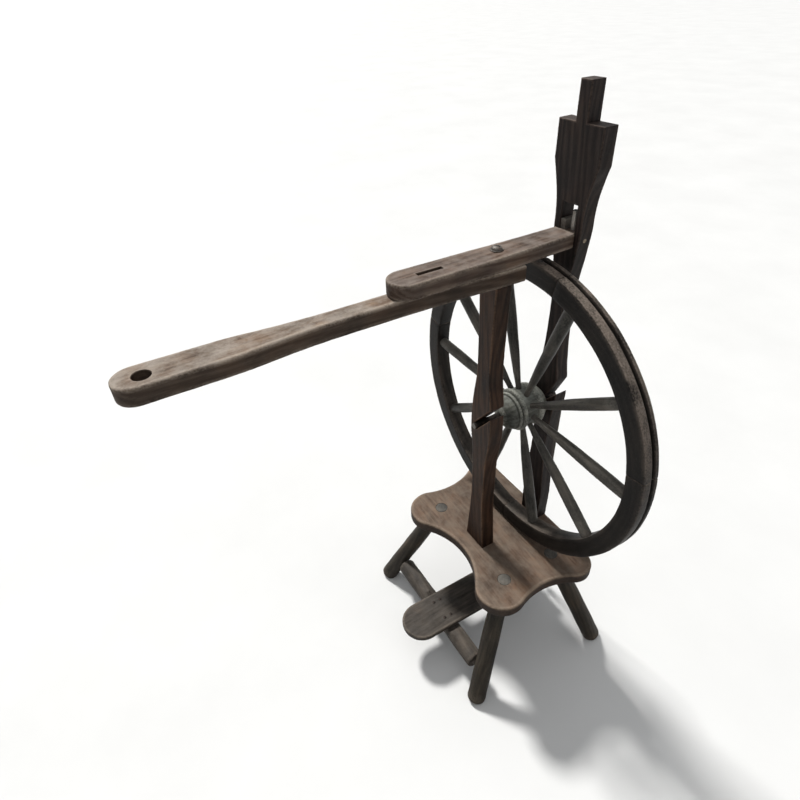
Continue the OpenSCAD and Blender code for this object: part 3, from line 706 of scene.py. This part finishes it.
def make_leg(name, seed):
    top, foot = LEGS[name]
    length = (foot - top).length
    under = length * BENCH_T / -FLOOR
    foot_r = LEG_R + LEG_SWELL
    stations = [(under - 2, LEG_R - 0.1), (under + 1, LEG_R)]
    for i in range(1, 9):
        size = LEG_R + LEG_SWELL * i / 9 + LEG_UNEVEN * math.sin(i * 2.1)
        stations.append((under + (length - under) * i / 9, size))
    stations += [(length - 9, foot_r), (length - 5, 15.1), (length - 2.2, 13.9), (length - 0.4, 11.5)]
    leg = turned(stations, 40, seed, wear=lambda z: 0.9 if z > length - 10 else 0.12)
    leg.moved(along(top, foot))
    for i, p in enumerate(leg.points):
        if p.z < FLOOR + 0.5:
            leg.points[i] = Vector((p.x, p.y, FLOOR))
        if p.z > -BENCH_T:
            leg.points[i] = Vector((p.x, p.y, -BENCH_T))
    handmade(leg, 0.5, 55, seed)
    for p in leg.points:
        p.z = max(p.z, FLOOR)
    piece(name, leg, "frame", LEG_WOOD, [name])
    end = [(-3, LEG_TENON_R), (-0.5, LEG_TENON_R), (0.2, 9.8), (0.5, 9.0), (0.5, 4.0)]
    plug = turned(end, 32, seed + 20, wear=lambda z: 0.5)
    for i, p in enumerate(plug.points):
        plug.points[i] = Vector((p.x * 1.05, p.y * 1.05, min(p.z, 0.35)))
        plug.grain[i] = Vector((p.x, p.y, p.z * 0.2)) * MM * 1.4 + Vector((seed, seed, 0)) * 0.05
    plug.moved(set_at(top))
    piece(name + "_tenon", plug, "frame", END_WOOD)


# ---- posts

FRONT_POST_WAIST = [
    (0, 22.6), (40, 18.8), (90, 14.8), (140, 14.6), (190, 16.3), (240, 22.4),
    (290, 20.6), (340, 14.1), (400, 14.2), (474, 17),
]
BACK_POST_WAIST = [
    (0, 20), (60, 21), (110, 18), (165, 14.5), (205, 16.5), (240, 20), (265, 22.4), (290, 21),
    (325, 16), (360, 12.7), (420, 11.5), (450, 14), (480, 19), (515, 23.4), (540, 24),
    (560, 26.5), (578, 31), (596, 36),
]


# The axle's seat and the way its slot leans, in degrees
SEAT_R, SLOT_TURN = 5.05, 47
TENON_W, KERF_W, TENON_PROUD = 16, 1.6, 0.4
HEAD_W, SHOULDER_W, FINIAL_W = 36, 22, 9
HEAD_Z, SHOULDER_Z = 596, 640
WINDOW_W, WINDOW_Z0, WINDOW_Z1 = 13, 498, 549
KEEPER_HOLE_X, FRONT_KEEPER_RISE, BACK_KEEPER_RISE = 22.3, 10, 16


def slot_path(curve, lower, upper):
    """The axle slot from its lower way in, round the axle's seat and out along its upper side.

    lower and upper are each side's points from the seat outwards; the last lies outside the post.
    """
    seat = (HUB.x, HUB.z)

    def clipped(a, b):
        """The place on the way from a to b where the post's right edge is met."""
        for k in range(200):
            p = (a[0] + (b[0] - a[0]) * k / 200, a[1] + (b[1] - a[1]) * k / 200)
            if p[0] >= size_at(curve, p[1]):
                return p
        return b

    around = arc(seat, SEAT_R, SLOT_TURN - 90, SLOT_TURN - 270, 14)
    low, high = [around[0]] + lower, [around[-1]] + upper
    low[-1], high[-1] = clipped(*low[-2:]), clipped(*high[-2:])
    return low[::-1] + around[1:-1] + high


def post_outline(stations, slot_lower, slot_upper, top=()):
    curve = smooth(stations)
    path = slot_path(curve, slot_lower, slot_upper)
    right = [(size, z) for z, size in curve]
    below = [p for p in right if p[1] < path[0][1] - 5]
    above = [p for p in right if p[1] > path[-1][1] + 5]
    left = [(-size, z) for z, size in reversed(curve)]
    return below + path + above + list(top) + left


def tenon(y, seed):
    """The two halves of a post's tenon in the board, a little proud of its underside."""
    low_z = -BENCH_T - TENON_PROUD
    left = block((-TENON_W, y - 7, low_z), (-KERF_W, y + 7, 0), 0.5, seed)
    return left.join(block((KERF_W, y - 7, low_z), (TENON_W, y + 7, 0), 0.5, seed + 1))


def make_posts():
    z = HUB.z
    outline = post_outline(FRONT_POST_WAIST, [(17, z + 27), (34, z + 44)], [(17, z + 43), (34, z + 60)])
    post = plate(outline, (), FRONT_POST_Y1 - FRONT_POST_Y0, 1.4, 6.0, "v", 5, margin=0.8)
    post.moved(standing(FRONT_POST_Y1))
    handmade(post, 0.3, 50, 6)
    piece("front_post", post, "frame", FRONT_POST_WOOD, ["front_post"])
    piece("front_post_tenon", tenon(FRONT_POST_Y, 8), "frame", FRONT_POST_WOOD)

    top_z = reach("back_post", Z)[1]
    side = [(HEAD_W, HEAD_Z + 14), (HEAD_W, HEAD_Z + 30), (HEAD_W, SHOULDER_Z), (SHOULDER_W, SHOULDER_Z)]
    side += [(FINIAL_W, SHOULDER_Z), (FINIAL_W, SHOULDER_Z + 20), (FINIAL_W, top_z)]
    top = side + [(-w, height) for w, height in reversed(side)]
    outline = post_outline(BACK_POST_WAIST, [(26, z + 33)], [(2, z + 14), (26, z + 64)], top)
    window = tall_slot(-WINDOW_W, WINDOW_Z0, WINDOW_W, WINDOW_Z1)
    post = plate(outline, [window], BACK_POST_Y1 - BACK_POST_Y0, 1.4, 6.0, "v", 9, 0.7, margin=0.8)
    post.moved(standing(BACK_POST_Y1))
    handmade(post, 0.3, 50, 8)
    piece("back_post", post, "frame", BACK_POST_WOOD, ["back_post"])
    piece("back_post_tenon", tenon(BACK_POST_Y, 12), "frame", BACK_POST_WOOD)
    wedges = Shape()
    for y in (FRONT_POST_Y, BACK_POST_Y):
        wedges.join(block((-1.5, y - 6.5, -BENCH_T), (1.5, y + 6.5, -6), 0.2, 14))
    piece("post_wedges", wedges, "frame", PALE_WOOD, ["post_wedges"])
    keepers = (("front", FRONT_POST_Y, FRONT_KEEPER_RISE), ("back", BACK_POST_Y, BACK_KEEPER_RISE))
    for name, y, rise in keepers:
        # Painted shade: a shallow near-black disc in place of each keeper hole's shaded inside
        hole = turned([(-0.6, 2.3), (0.1, 2.15), (0.12, 1.9)], 20, 3)
        hole.moved(set_at((KEEPER_HOLE_X, y, z + rise), TO_RIGHT))
        piece(f"keeper_hole_shade_{name}", hole, "frame", HOLE_SHADE)


# ---- crossbar, arm and their fittings


CROSSBAR_TIP_R, ARM_TIP_R = 22, 21
BAR_TENON_TOP, BAR_TENON_PLAY = 514.4, 0.1
PEG_R, PEG_Z = 3, 506.2
# The oblong hole along the crossbar and the round socket in the arm
HOLE_X0, HOLE_X1, HOLE_Y0, HOLE_Y1 = -2.25, 4.25, -147, -113
SOCKET, SOCKET_R = (2, -448), 9.5


def make_crossbar():
    back = BACK_POST_Y0 - 0.2
    outline = arc((0, reach("crossbar", Y)[0] + CROSSBAR_TIP_R), CROSSBAR_TIP_R, 180, 360, 26)
    outline += [(21.2, -100), (20.6, -60), (20, -30), (17.5, 20), (14.2, back)]
    outline += [(-20, back), (-20, 20), (-20, -30), (-20.8, -60), (-21.4, -100)]
    slot = tall_slot(HOLE_X0, HOLE_Y0, HOLE_X1, HOLE_Y1)
    bar = plate(outline, [slot], CROSSBAR_Z1 - CROSSBAR_Z0, 2.2, 7.0, "v", 15, 0.6)
    bar.moved(set_at((0, 0, CROSSBAR_Z0)))
    handmade(bar, 0.3, 45, 16)
    for p in bar.points:
        p.y = min(p.y, back + 0.1)
        p.z = min(max(p.z, CROSSBAR_Z0), CROSSBAR_Z1)
    half_w = WINDOW_W - BAR_TENON_PLAY
    low = (-half_w, BACK_POST_Y0 - 1, WINDOW_Z0 + BAR_TENON_PLAY)
    bar.join(block(low, (half_w, BACK_POST_Y1, BAR_TENON_TOP), 0.8, 17))
    piece("crossbar", bar, "frame", CROSSBAR_WOOD, ["crossbar"])
    peg = turned([(-20, PEG_R), (22.0, PEG_R), (22.6, 2.6), (22.8, 1.5)], 20, 18)
    peg.moved(set_at((0, BACK_POST_Y, PEG_Z), TO_RIGHT))
    piece("crossbar_peg", peg, "frame", PALE_WOOD, ["crossbar_peg"])


ARM_WAIST = [
    (4, 19.5), (40, 18.4), (72, 16), (130, 13.7), (190, 13), (260, 13.2), (300, 15),
    (330, 17.8), (360, 20.4), (400, 21), (456, 21),
]


def make_arm():
    curve = smooth(ARM_WAIST)
    outline = [(-size, -y) for y, size in curve]
    outline += arc((0, reach("distaff_arm", Y)[0] + ARM_TIP_R), ARM_TIP_R, 180, 360, 24)[1:-1]
    outline += [(size, -y) for y, size in reversed(curve)]
    arm = plate(outline, [circle(SOCKET, SOCKET_R, 32)], ARM_Z1 - ARM_Z0, 2.6, 7.0, "v", 21, 0.9)
    arm.moved(set_at((0, 0, ARM_Z0)))
    handmade(arm, 0.3, 50, 22)
    for p in arm.points:
        p.z = min(max(p.z, ARM_Z0), ARM_Z1)
    piece("distaff_arm", arm, "arm", ARM_WOOD, ["distaff_arm"])


BORE_R, WASHER_R, WASHER_T = 3.2, 8.25, 1.4
HEAD_R, HEAD_H, HEAD_BRIM, HEAD_SLOT_W, HEAD_SLOT_DEPTH = 6.6, 4.2, 0.7, 0.75, 1.6
SHANK_R = 2.95
BEARING_Z = BAR_TENON_TOP + 0.2


def make_fittings():
    washer = turned([
        (0, BORE_R), (0, WASHER_R - 0.25), (0.3, WASHER_R), (WASHER_T - 0.3, WASHER_R), (WASHER_T, 7.9),
        (WASHER_T, BORE_R),
    ], 40, 31, (False, False))
    washer.moved(set_at((PIVOT.x, PIVOT.y, CROSSBAR_Z1)))
    piece("pivot_washer", washer, "frame", IRON, ["pivot_washer"])
    head = Shape()
    rings = [(HEAD_R, 0)]
    for k in range(9):
        turn = math.pi / 2 * k / 8
        rings.append((HEAD_R * math.cos(turn), HEAD_BRIM + (HEAD_H - HEAD_BRIM) * math.sin(turn)))
    made = []
    for r, z in rings:
        ring = []
        for i in range(64):
            a = 2 * math.pi * i / 64
            p = Vector((r * math.cos(a), r * math.sin(a), z))
            if abs(p.y) < HEAD_SLOT_W and z > HEAD_SLOT_DEPTH:
                p.z = HEAD_H - HEAD_SLOT_DEPTH
            ring.append(head.add(p, p, 0.4))
        made.append(ring)
    head.loft(made)
    head.fan(made[-1], head.add((0, 0, HEAD_H - HEAD_SLOT_DEPTH), (0, 0, 0), 0.0))
    head.moved(set_at((PIVOT.x, PIVOT.y, CROSSBAR_Z1 + WASHER_T), Matrix.Rotation(0.5, 4, "Z")))
    shank = turned([(-30, SHANK_R), (CROSSBAR_Z1 - ARM_Z0 + 1, SHANK_R)], 24, 32)
    shank.moved(set_at((PIVOT.x, PIVOT.y, ARM_Z0)))
    piece("pivot_screw", head.join(shank), "frame", IRON, ["pivot_screw"])

    stub = block((-12.8, BACK_POST_Y - 9, BEARING_Z), (-5, BACK_POST_Y + 9, BEARING_Z + 13), 0.9, 33)
    piece("bearing_block", handmade(stub, 0.35, 9, 34), "frame", END_WOOD, ["bearing_block"])
    stations = [(0, 3.9), (14, 3.8), (18, 3.7), (20, 3.2), (20.8, 3.3), (22, 3.9), (23.6, 3.7), (24.6, 2.4)]
    hook = turned(stations + [(25, 0.8)], 28, 35)
    hook.moved(set_at((1, BACK_POST_Y, BEARING_Z)))
    piece("bearing_hook", handmade(hook, 0.2, 8, 36), "frame", BARE_IRON, ["bearing_hook"])


# ---- wheel

# Lays Z along the axle towards the front, X across the wheel, and stands it in place
AT_WHEEL = set_at((HUB.x, WHEEL_Y, HUB.z), TO_FRONT)


def rim_section():
    """(radius, height, wear) round the rim's section, with its flanges and the band's groove."""
    r0, r1 = RIM_IN_R, RIM_R
    near, groove_top, groove_low, far = 12.5, -1.0, -6.0, -12.5
    groove_mid = (groove_low + groove_top) / 2
    deep = r1 - 5
    far_side = [(r0 + 1.6, far, 0.7), (r0 + 6, far, 0.1), (r1 - 6, far, 0.1), (r1 - 1.8, far, 0.7)]
    far_flange = [
        (r1 - 0.6, far + 0.5, 1.0), (r1, far + 1.8, 1.0), (r1, far + 3.4, 0.5),
        (r1 - 0.2, groove_low - 0.8, 0.8), (r1 - 1.0, groove_low - 0.1, 0.4),
    ]
    groove = [
        (deep + 1.4, groove_low + 0.4, 0.0), (deep + 0.3, groove_low + 1.2, 0.0), (deep, groove_mid, 0.0),
        (deep + 0.3, groove_top - 1.2, 0.0), (deep + 1.4, groove_top - 0.4, 0.0),
    ]
    near_flange = [
        (r1 - 1.2, groove_top + 0.1, 0.5), (r1 - 0.3, groove_top + 0.9, 1.0), (r1, groove_top + 2.2, 1.0),
        (r1, groove_top + 6.5, 0.9), (r1, near - 2.6, 1.0), (r1 - 0.6, near - 0.7, 1.0),
    ]
    near_side = [(r1 - 2.0, near, 0.6), (r1 - 6, near, 0.1), (r0 + 6, near, 0.1), (r0 + 1.8, near, 0.4)]
    inner = [
        (r0 + 0.5, near - 0.6, 0.5), (r0, near - 2.0, 0.3), (r0, 0, 0.0), (r0, far + 2.0, 0.3),
        (r0 + 0.5, far + 0.6, 0.6),
    ]
    return far_side + far_flange + groove + near_flange + near_side + inner


def make_felloe(number):
    a0, a1 = FELLOE_ENDS[number - 1], FELLOE_ENDS[number]
    section = rim_section()
    shape = Shape()
    offset = Vector((number * 41.0, number * 19.0, number * 83.0))
    steps = max(int((a1 - a0) / 2.5), 8)
    angles = [a0 + 0.05, a0 + 0.12, a0 + 0.3]
    angles += [a0 + (a1 - a0) * k / steps for k in range(1, steps)]
    angles += [a1 - 0.3, a1 - 0.12, a1 - 0.05]
    rings = []
    for i, angle in enumerate(angles):
        end = min(i, len(angles) - 1 - i)
        shrink = (0.9, 0.25, 0.0)[end] if end < 3 else 0.0
        a = math.radians(angle)
        ring = []
        for r, h, worn in section:
            r_now = r + (RIM_MID_R - r) / 14 * shrink
            h_now = h * (1 - shrink / 12)
            grain = Vector((r_now, h_now, a * RIM_MID_R)) + offset
            p = (r_now * math.cos(a), r_now * math.sin(a), h_now)
            ring.append(shape.add(p, grain, max(worn, 0.6 if end < 2 else 0)))
        rings.append(ring)
    shape.loft(rings)
    for ring, flip in ((rings[0], True), (rings[-1], False)):
        centre = sum((shape.points[i] for i in ring), Vector()) / len(ring)
        shape.fan(ring, shape.add(centre, offset, 0.0), flip)
    handmade(shape, 0.35, 45, number + 40)
    shape.moved(AT_WHEEL)
    name = f"felloe_{number}"
    piece(name, shape, "wheel", RIM_WOOD, [name])


def make_dowels():
    """The dowels across the felloes' joints, hidden inside the rim."""
    dowels = Shape()
    for angle in FELLOE_ENDS[:-1]:
        dowel = turned([(-15, 3.5), (-14.5, 3.95), (14.5, 3.95), (15, 3.5)], 20, 99, wear=lambda z: 0.2)
        turn = Matrix.Rotation(math.radians(angle), 4, "Z")
        dowels.join(dowel.moved(turn @ set_at((RIM_MID_R - 1, 0, 0), TO_FRONT)))
    piece("felloe_dowels", dowels.moved(AT_WHEEL), "wheel", PALE_WOOD, ["felloe_dowels"])


SPOKE_WAIST = [
    (29.2, 4.4), (36, 4.3), (42, 4.5), (60, 5.7), (85, 7.0), (120, 8.1), (160, 8.7), (190, 8.8),
    (206, 8.5), (211.6, 8.2),
]


def make_spoke(number):
    angle = math.radians(SPOKE_TURN + (number - 1) * 360 / SPOKES)
    slight = 0.985 + 0.03 * noise.noise(Vector((number * 1.7, 0.3, 0.9)))
    stations = [(z, r * slight) for z, r in smooth(SPOKE_WAIST, 4)]
    spoke = turned(stations, 28, number + 50, wear=lambda z: 0.25 if 60 < z < 190 else 0.5)
    spoke.moved(Matrix.Rotation(angle, 4, "Z") @ TO_RIGHT)
    handmade(spoke, 0.35, 30, number + 60)
    spoke.moved(AT_WHEEL)
    name = f"spoke_{number}"
    piece(name, spoke, "wheel", SPOKE_WOOD, [name])


HUB_LENGTH, HUB_BORE_R = 73, 5.3
# Where along the hub its beads are drawn bright: wear, and a painted highlight where the light catches the
# beads
WORN_AND_HIGHLIGHT_BANDS = ((-1, 3), (18, 22), (24, 30), (52, 62))


def hub_wear_and_highlight(z):
    return 1.0 if any(low < z < high for low, high in WORN_AND_HIGHLIGHT_BANDS) else 0.15


def make_hub():
    nose = smooth([(0, 9), (2.5, 14), (6, 20), (10, 24.5), (15, 27.3)], 4)
    groove = [(15.4, 27.2), (15.8, 25.2), (16.6, 24.6), (17.4, 25.2), (17.8, 27.6)]
    bead = [(18.4, 28.8), (19.6, 29.6), (21.2, 29.8), (22.0, 29.2), (22.3, 27.8), (23.1, 27.4), (23.7, 28.2)]
    bead += [(24.1, 31.2), (25.0, 32.9), (26.4, 33.5), (28.2, 33.4), (29.4, 32.6), (30.2, 31.2), (30.6, 30.1)]
    drum = [(31.5, 30), (36, 30), (41, 30), (46, 30), (51.6, 30)]
    back = [(52.4, 30.6), (53.4, 32.4), (55, 33.2), (58, 33.2), (60, 32.6), (61.6, 31), (65, 28.6)]
    back += [(68, 27), (71, 25), (HUB_LENGTH, 22.8)]
    stations = [(0, HUB_BORE_R)] + nose + groove + bead + drum + back + [(HUB_LENGTH, HUB_BORE_R)]
    hub = turned(stations, 72, 71, (True, True), hub_wear_and_highlight)
    hub.moved(set_at((HUB.x, reach("wheel_hub", Y)[0], HUB.z), TO_BACK))
    piece("wheel_hub", handmade(hub, 0.25, 26, 72), "wheel", HUB_WOOD, ["wheel_hub"], 45)


AXLE_R, CRANK_R, CRANK_PIN_R, CRANK_Y = 4.95, 5.0, 3.95, 105


def make_axle():
    front = reach("axle", Y)[0]
    high, low = HUB.z, CRANK_PIN.z
    rod = [(front + 0.6, high, 4.3)] + [(y, high, AXLE_R) for y in (front + 2, 0, 60, 96, 100)]
    crank = [
        (CRANK_Y - 1.5, high - 1.5, CRANK_R), (CRANK_Y, high - 5, CRANK_R), (CRANK_Y, high - 15, CRANK_R),
        (CRANK_Y, low + 5, CRANK_R), (CRANK_Y + 1.5, low + 1.5, 4.6),
    ]
    pin = [(y, low, CRANK_PIN_R) for y in (110, 118, 123)] + [(123.9, low, 3.3)]
    stations = rod + crank + pin
    axle = tube([(HUB.x, y, z) for y, z, _ in stations], [r for _, _, r in stations], 28, 73)
    piece("axle", axle, "wheel", DARK_IRON, ["axle"], 50)
    tip = turned([(0, 4.4), (0.5, 4.1), (0.7, 2)], 28, 74)
    tip.moved(set_at((HUB.x, front + 0.8, HUB.z), TO_FRONT))
    piece("axle_end", tip, "wheel", IRON)
    ring = [(0, 4.05), (0, 6.8), (0.3, 7.2), (1.7, 7.2), (2, 6.8), (2, 4.05)]
    keeper = turned(ring, 32, 75, (False, False))
    keeper.moved(set_at((HUB.x, reach("crank_keeper", Y)[0], low), TO_BACK))
    piece("crank_keeper", keeper, "wheel", IRON, ["crank_keeper"])


# ---- footman and treadle


FOOT_EYE_R, TOP_EYE_R, STICK_W = 8, 11, 7.6
CRANK_HOLE_R, PIN_HOLE_R = 4.1, 3.0
PIN_R = 2.95


def make_footman():
    low, high = corners("footman")
    x, top, eye = CRANK_PIN.x, CRANK_PIN.z, low.z + FOOT_EYE_R
    side = [(FOOT_EYE_R, eye + 40), (STICK_W, (eye + top) / 2), (8, top - 40), (8.6, top - 16)]
    outline = arc((x, eye), FOOT_EYE_R, 180, 360, 14) + [(x + w, z) for w, z in side]
    outline += arc((x, top), TOP_EYE_R, -40, 220, 22) + [(x - w, z) for w, z in reversed(side)]
    eyes = [circle((x, top), CRANK_HOLE_R, 24), circle((x, eye), PIN_HOLE_R, 24)]
    stick = plate(outline, eyes, high.y - low.y, 1.6, 6.0, "v", 81, 0.3)
    stick.moved(standing(high.y))
    piece("footman", handmade(stick, 0.2, 40, 82), "footman", LEG_WOOD, ["footman"])
    pin = turned([(0, 2.6), (0.5, PIN_R), (10.4, PIN_R), (11, 2.5)], 20, 83)
    pin.moved(set_at((x, low.y, eye), TO_BACK))
    piece("footman_pin", pin, "footman", PALE_WOOD, ["footman_pin"])


BAR_LEFT, BAR_RIGHT, BAR_R, BAR_END_R, BAR_PIN_R = -126.5, 105, 15.5, 15.4, 5.95
# How far each side of the board's middle the bar is planed flat under it
FLAT_REACH = 42
NAIL_X, NAIL_FRONT, NAIL_BACK = 18, -6, 7
PEG_LENGTH = 29.4


def make_treadle():
    low, high = corners("treadle_board")
    board_x = (low.x + high.x) / 2
    pin_left, pin_right = reach("treadle_bar", X)

    def shoulder(end, pin_end, way):
        """From a pin's end to the bar's full round, going inwards."""
        steps = [(pin_end, 5.2), (pin_end + way, BAR_PIN_R), (end - 0.6 * way, BAR_PIN_R), (end, 6.4)]
        return steps + [(end, 13.4), (end + way, 14.8), (end + 3 * way, BAR_END_R)]

    def worn_ends(x):
        return 0.9 if min(abs(x - BAR_LEFT), abs(x - BAR_RIGHT)) < 4 else 0.25

    first, last = BAR_LEFT + 8, BAR_RIGHT - 8
    body = [first + (last - first) * i / 32 for i in range(33)]
    stations = shoulder(BAR_LEFT, pin_left, 1) + [(x, BAR_R + 0.15 * math.sin(x * 0.13)) for x in body]
    stations += reversed(shoulder(BAR_RIGHT, pin_right, -1))
    bar = turned(stations, 44, 91, wear=worn_ends)
    bar.moved(set_at((0, BAR.y, BAR.z), TO_RIGHT))
    handmade(bar, 0.4, 45, 92)
    for p in bar.points:
        if abs(p.x - board_x) < FLAT_REACH:
            p.z = min(p.z, low.z - 0.1)
    piece("treadle_bar", bar, "treadle", TREADLE_WOOD, ["treadle_bar"])

    r = (high.x - low.x) / 2
    side = range(-120, 81, 40)
    outline = arc((0, low.y + r), r, 180, 360, 30)
    outline += [(r, y) for y in side] + [(r, high.y), (-r, high.y)] + [(-r, y) for y in reversed(side)]
    board = plate(outline, (), high.z - low.z, 1.9, 7.0, "v", 95)
    board.moved(set_at((board_x, 0, low.z)))
    handmade(board, 0.3, 50, 96)
    for p in board.points:
        p.z = max(p.z, low.z)
        p.y = min(p.y, high.y)
    piece("treadle_board", board, "treadle", TREADLE_WOOD, ["treadle_board"])
    nails = Shape()
    for dx in (-NAIL_X, NAIL_X):
        for dy in (NAIL_FRONT, NAIL_BACK):
            head = turned([(-8, 1.3), (-0.2, 1.3), (0, 2.6), (0.5, 2.9), (0.9, 2.2), (1.0, 0.8)], 16, 97)
            nails.join(head.moved(set_at((board_x + dx, BAR.y + dy, high.z))))
    piece("treadle_nails", nails, "treadle", DARK_IRON, ["treadle_nails"])
    peg = turned([(0, PIN_R), (28.4, PIN_R), (29.2, 2.5), (PEG_LENGTH, 1.5)], 20, 98)
    start = reach("treadle_pin", Y)[1] - PEG_LENGTH
    peg.moved(set_at((CRANK_PIN.x, start, (low.z + high.z) / 2), TO_BACK))
    piece("treadle_pin", peg, "treadle", PALE_WOOD, ["treadle_pin"])


# ---- stage, light and camera


# Metres: so wide a floor that its edge lies at the horizon
FLOOR_HALF = 160.0


def make_stage():
    mesh = bpy.data.meshes.new("floor")
    s = FLOOR_HALF
    mesh.from_pydata([(-s, -s, 0), (s, -s, 0), (s, s, 0), (-s, s, 0)], [], [(0, 1, 2, 3)])
    floor = bpy.data.objects.new("floor", mesh)
    n = Nodes("floor")
    place = n.node("ShaderNodeTexCoord", {}, "Object")
    tone = n.ramp(n.noise(place, 3.0, 4.0), (0.3, linear(214, 214, 213)), (0.7, linear(220, 220, 219)))
    n.feed(n.shader.inputs["Base Color"], tone)
    n.feed(n.shader.inputs["Roughness"], n.ramp(n.noise(place, 40.0), (0.3, 0.7), (0.7, 0.8)))
    mesh.materials.append(n.material)
    bpy.context.scene.collection.objects.link(floor)


# Metres
LIT_PLACE = Vector((0, 0, 0.45))
# The room's light, bright at the horizon and dim above, and the elevations' sines for both
HORIZON, ABOVE = (0.84, 0.85, 0.87, 1), (0.24, 0.245, 0.25, 1)
HORIZON_RISE, ABOVE_RISE = 0.04, 0.5


def add_light(name, kind, place, power, colour, **settings):
    """A light at a place, turned towards the middle of the wheel."""
    data = bpy.data.lights.new(name, kind)
    data.energy = power
    data.color = colour
    for key, value in settings.items():
        setattr(data, key, value)
    obj = bpy.data.objects.new(name, data)
    obj.location = place
    obj.rotation_mode = "QUATERNION"
    obj.rotation_quaternion = (LIT_PLACE - Vector(place)).to_track_quat("-Z", "Y")
    bpy.context.scene.collection.objects.link(obj)


def make_light():
    add_light("key", "SUN", (-1.5, -0.08, 2.4), 3.7, (1.0, 0.99, 0.97), angle=math.radians(8))
    add_light("ceiling", "SUN", (0.3, 0.1, 3.0), 0.6, (0.98, 0.99, 1.0), angle=math.radians(70))
    add_light("front", "AREA", (2.2, -1.2, 1.8), 2, (1.0, 0.98, 0.95), size=1.4)
    world = bpy.data.worlds.new("world")
    world.use_nodes = True
    tree = world.node_tree
    coords = tree.nodes.new("ShaderNodeTexCoord")
    height = tree.nodes.new("ShaderNodeSeparateXYZ")
    sky = tree.nodes.new("ShaderNodeValToRGB")
    tree.links.new(coords.outputs["Generated"], height.inputs[0])
    tree.links.new(height.outputs["Z"], sky.inputs["Fac"])
    stops = ((HORIZON_RISE, HORIZON), (ABOVE_RISE, ABOVE))
    for element, (rise, colour) in zip(sky.color_ramp.elements, stops):
        element.position = rise
        element.color = colour
    tree.links.new(sky.outputs["Color"], tree.nodes["Background"].inputs["Color"])
    bpy.context.scene.world = world
    bpy.context.scene.view_settings.view_transform = "Standard"


# Degrees, millimetres from the bench's origin, and the focal length over the picture's width
AZIMUTH, ELEVATION, ROLL = 61.6, 36.9, -3.0
EYE = (510.5, -451.7, 788.2)
LENS_RATIO = 0.72125


def make_camera():
    """A camera from the front right, above, turned slightly about its own axis."""
    azimuth, elevation, roll = (math.radians(a) for a in (AZIMUTH, ELEVATION, ROLL))
    data = bpy.data.cameras.new("camera")
    data.sensor_width = 36.0
    data.lens = LENS_RATIO * data.sensor_width
    data.clip_start, data.clip_end = 0.01, 300
    back = Vector((
        math.sin(azimuth) * math.cos(elevation), -math.cos(azimuth) * math.cos(elevation), math.sin(elevation)
    ))
    side = Vector((math.cos(azimuth), math.sin(azimuth), 0))
    up = back.cross(side)
    right = side * math.cos(roll) + up * math.sin(roll)
    above = up * math.cos(roll) - side * math.sin(roll)
    turn = Matrix((right, above, back)).transposed().to_4x4()
    place = BENCH + Vector(EYE) * MM
    camera = bpy.data.objects.new("camera", data)
    camera.matrix_world = Matrix.Translation(place) @ turn
    bpy.context.scene.collection.objects.link(camera)
    bpy.context.scene.camera = camera


make_bench()
for number, name in enumerate(LEGS, 1):
    make_leg(name, number)
make_posts()
make_crossbar()
make_arm()
make_fittings()
for number in range(1, len(FELLOE_ENDS)):
    make_felloe(number)
make_dowels()
for number in range(1, SPOKES + 1):
    make_spoke(number)
make_hub()
make_axle()
make_footman()
make_treadle()
make_stage()
make_light()
make_camera()
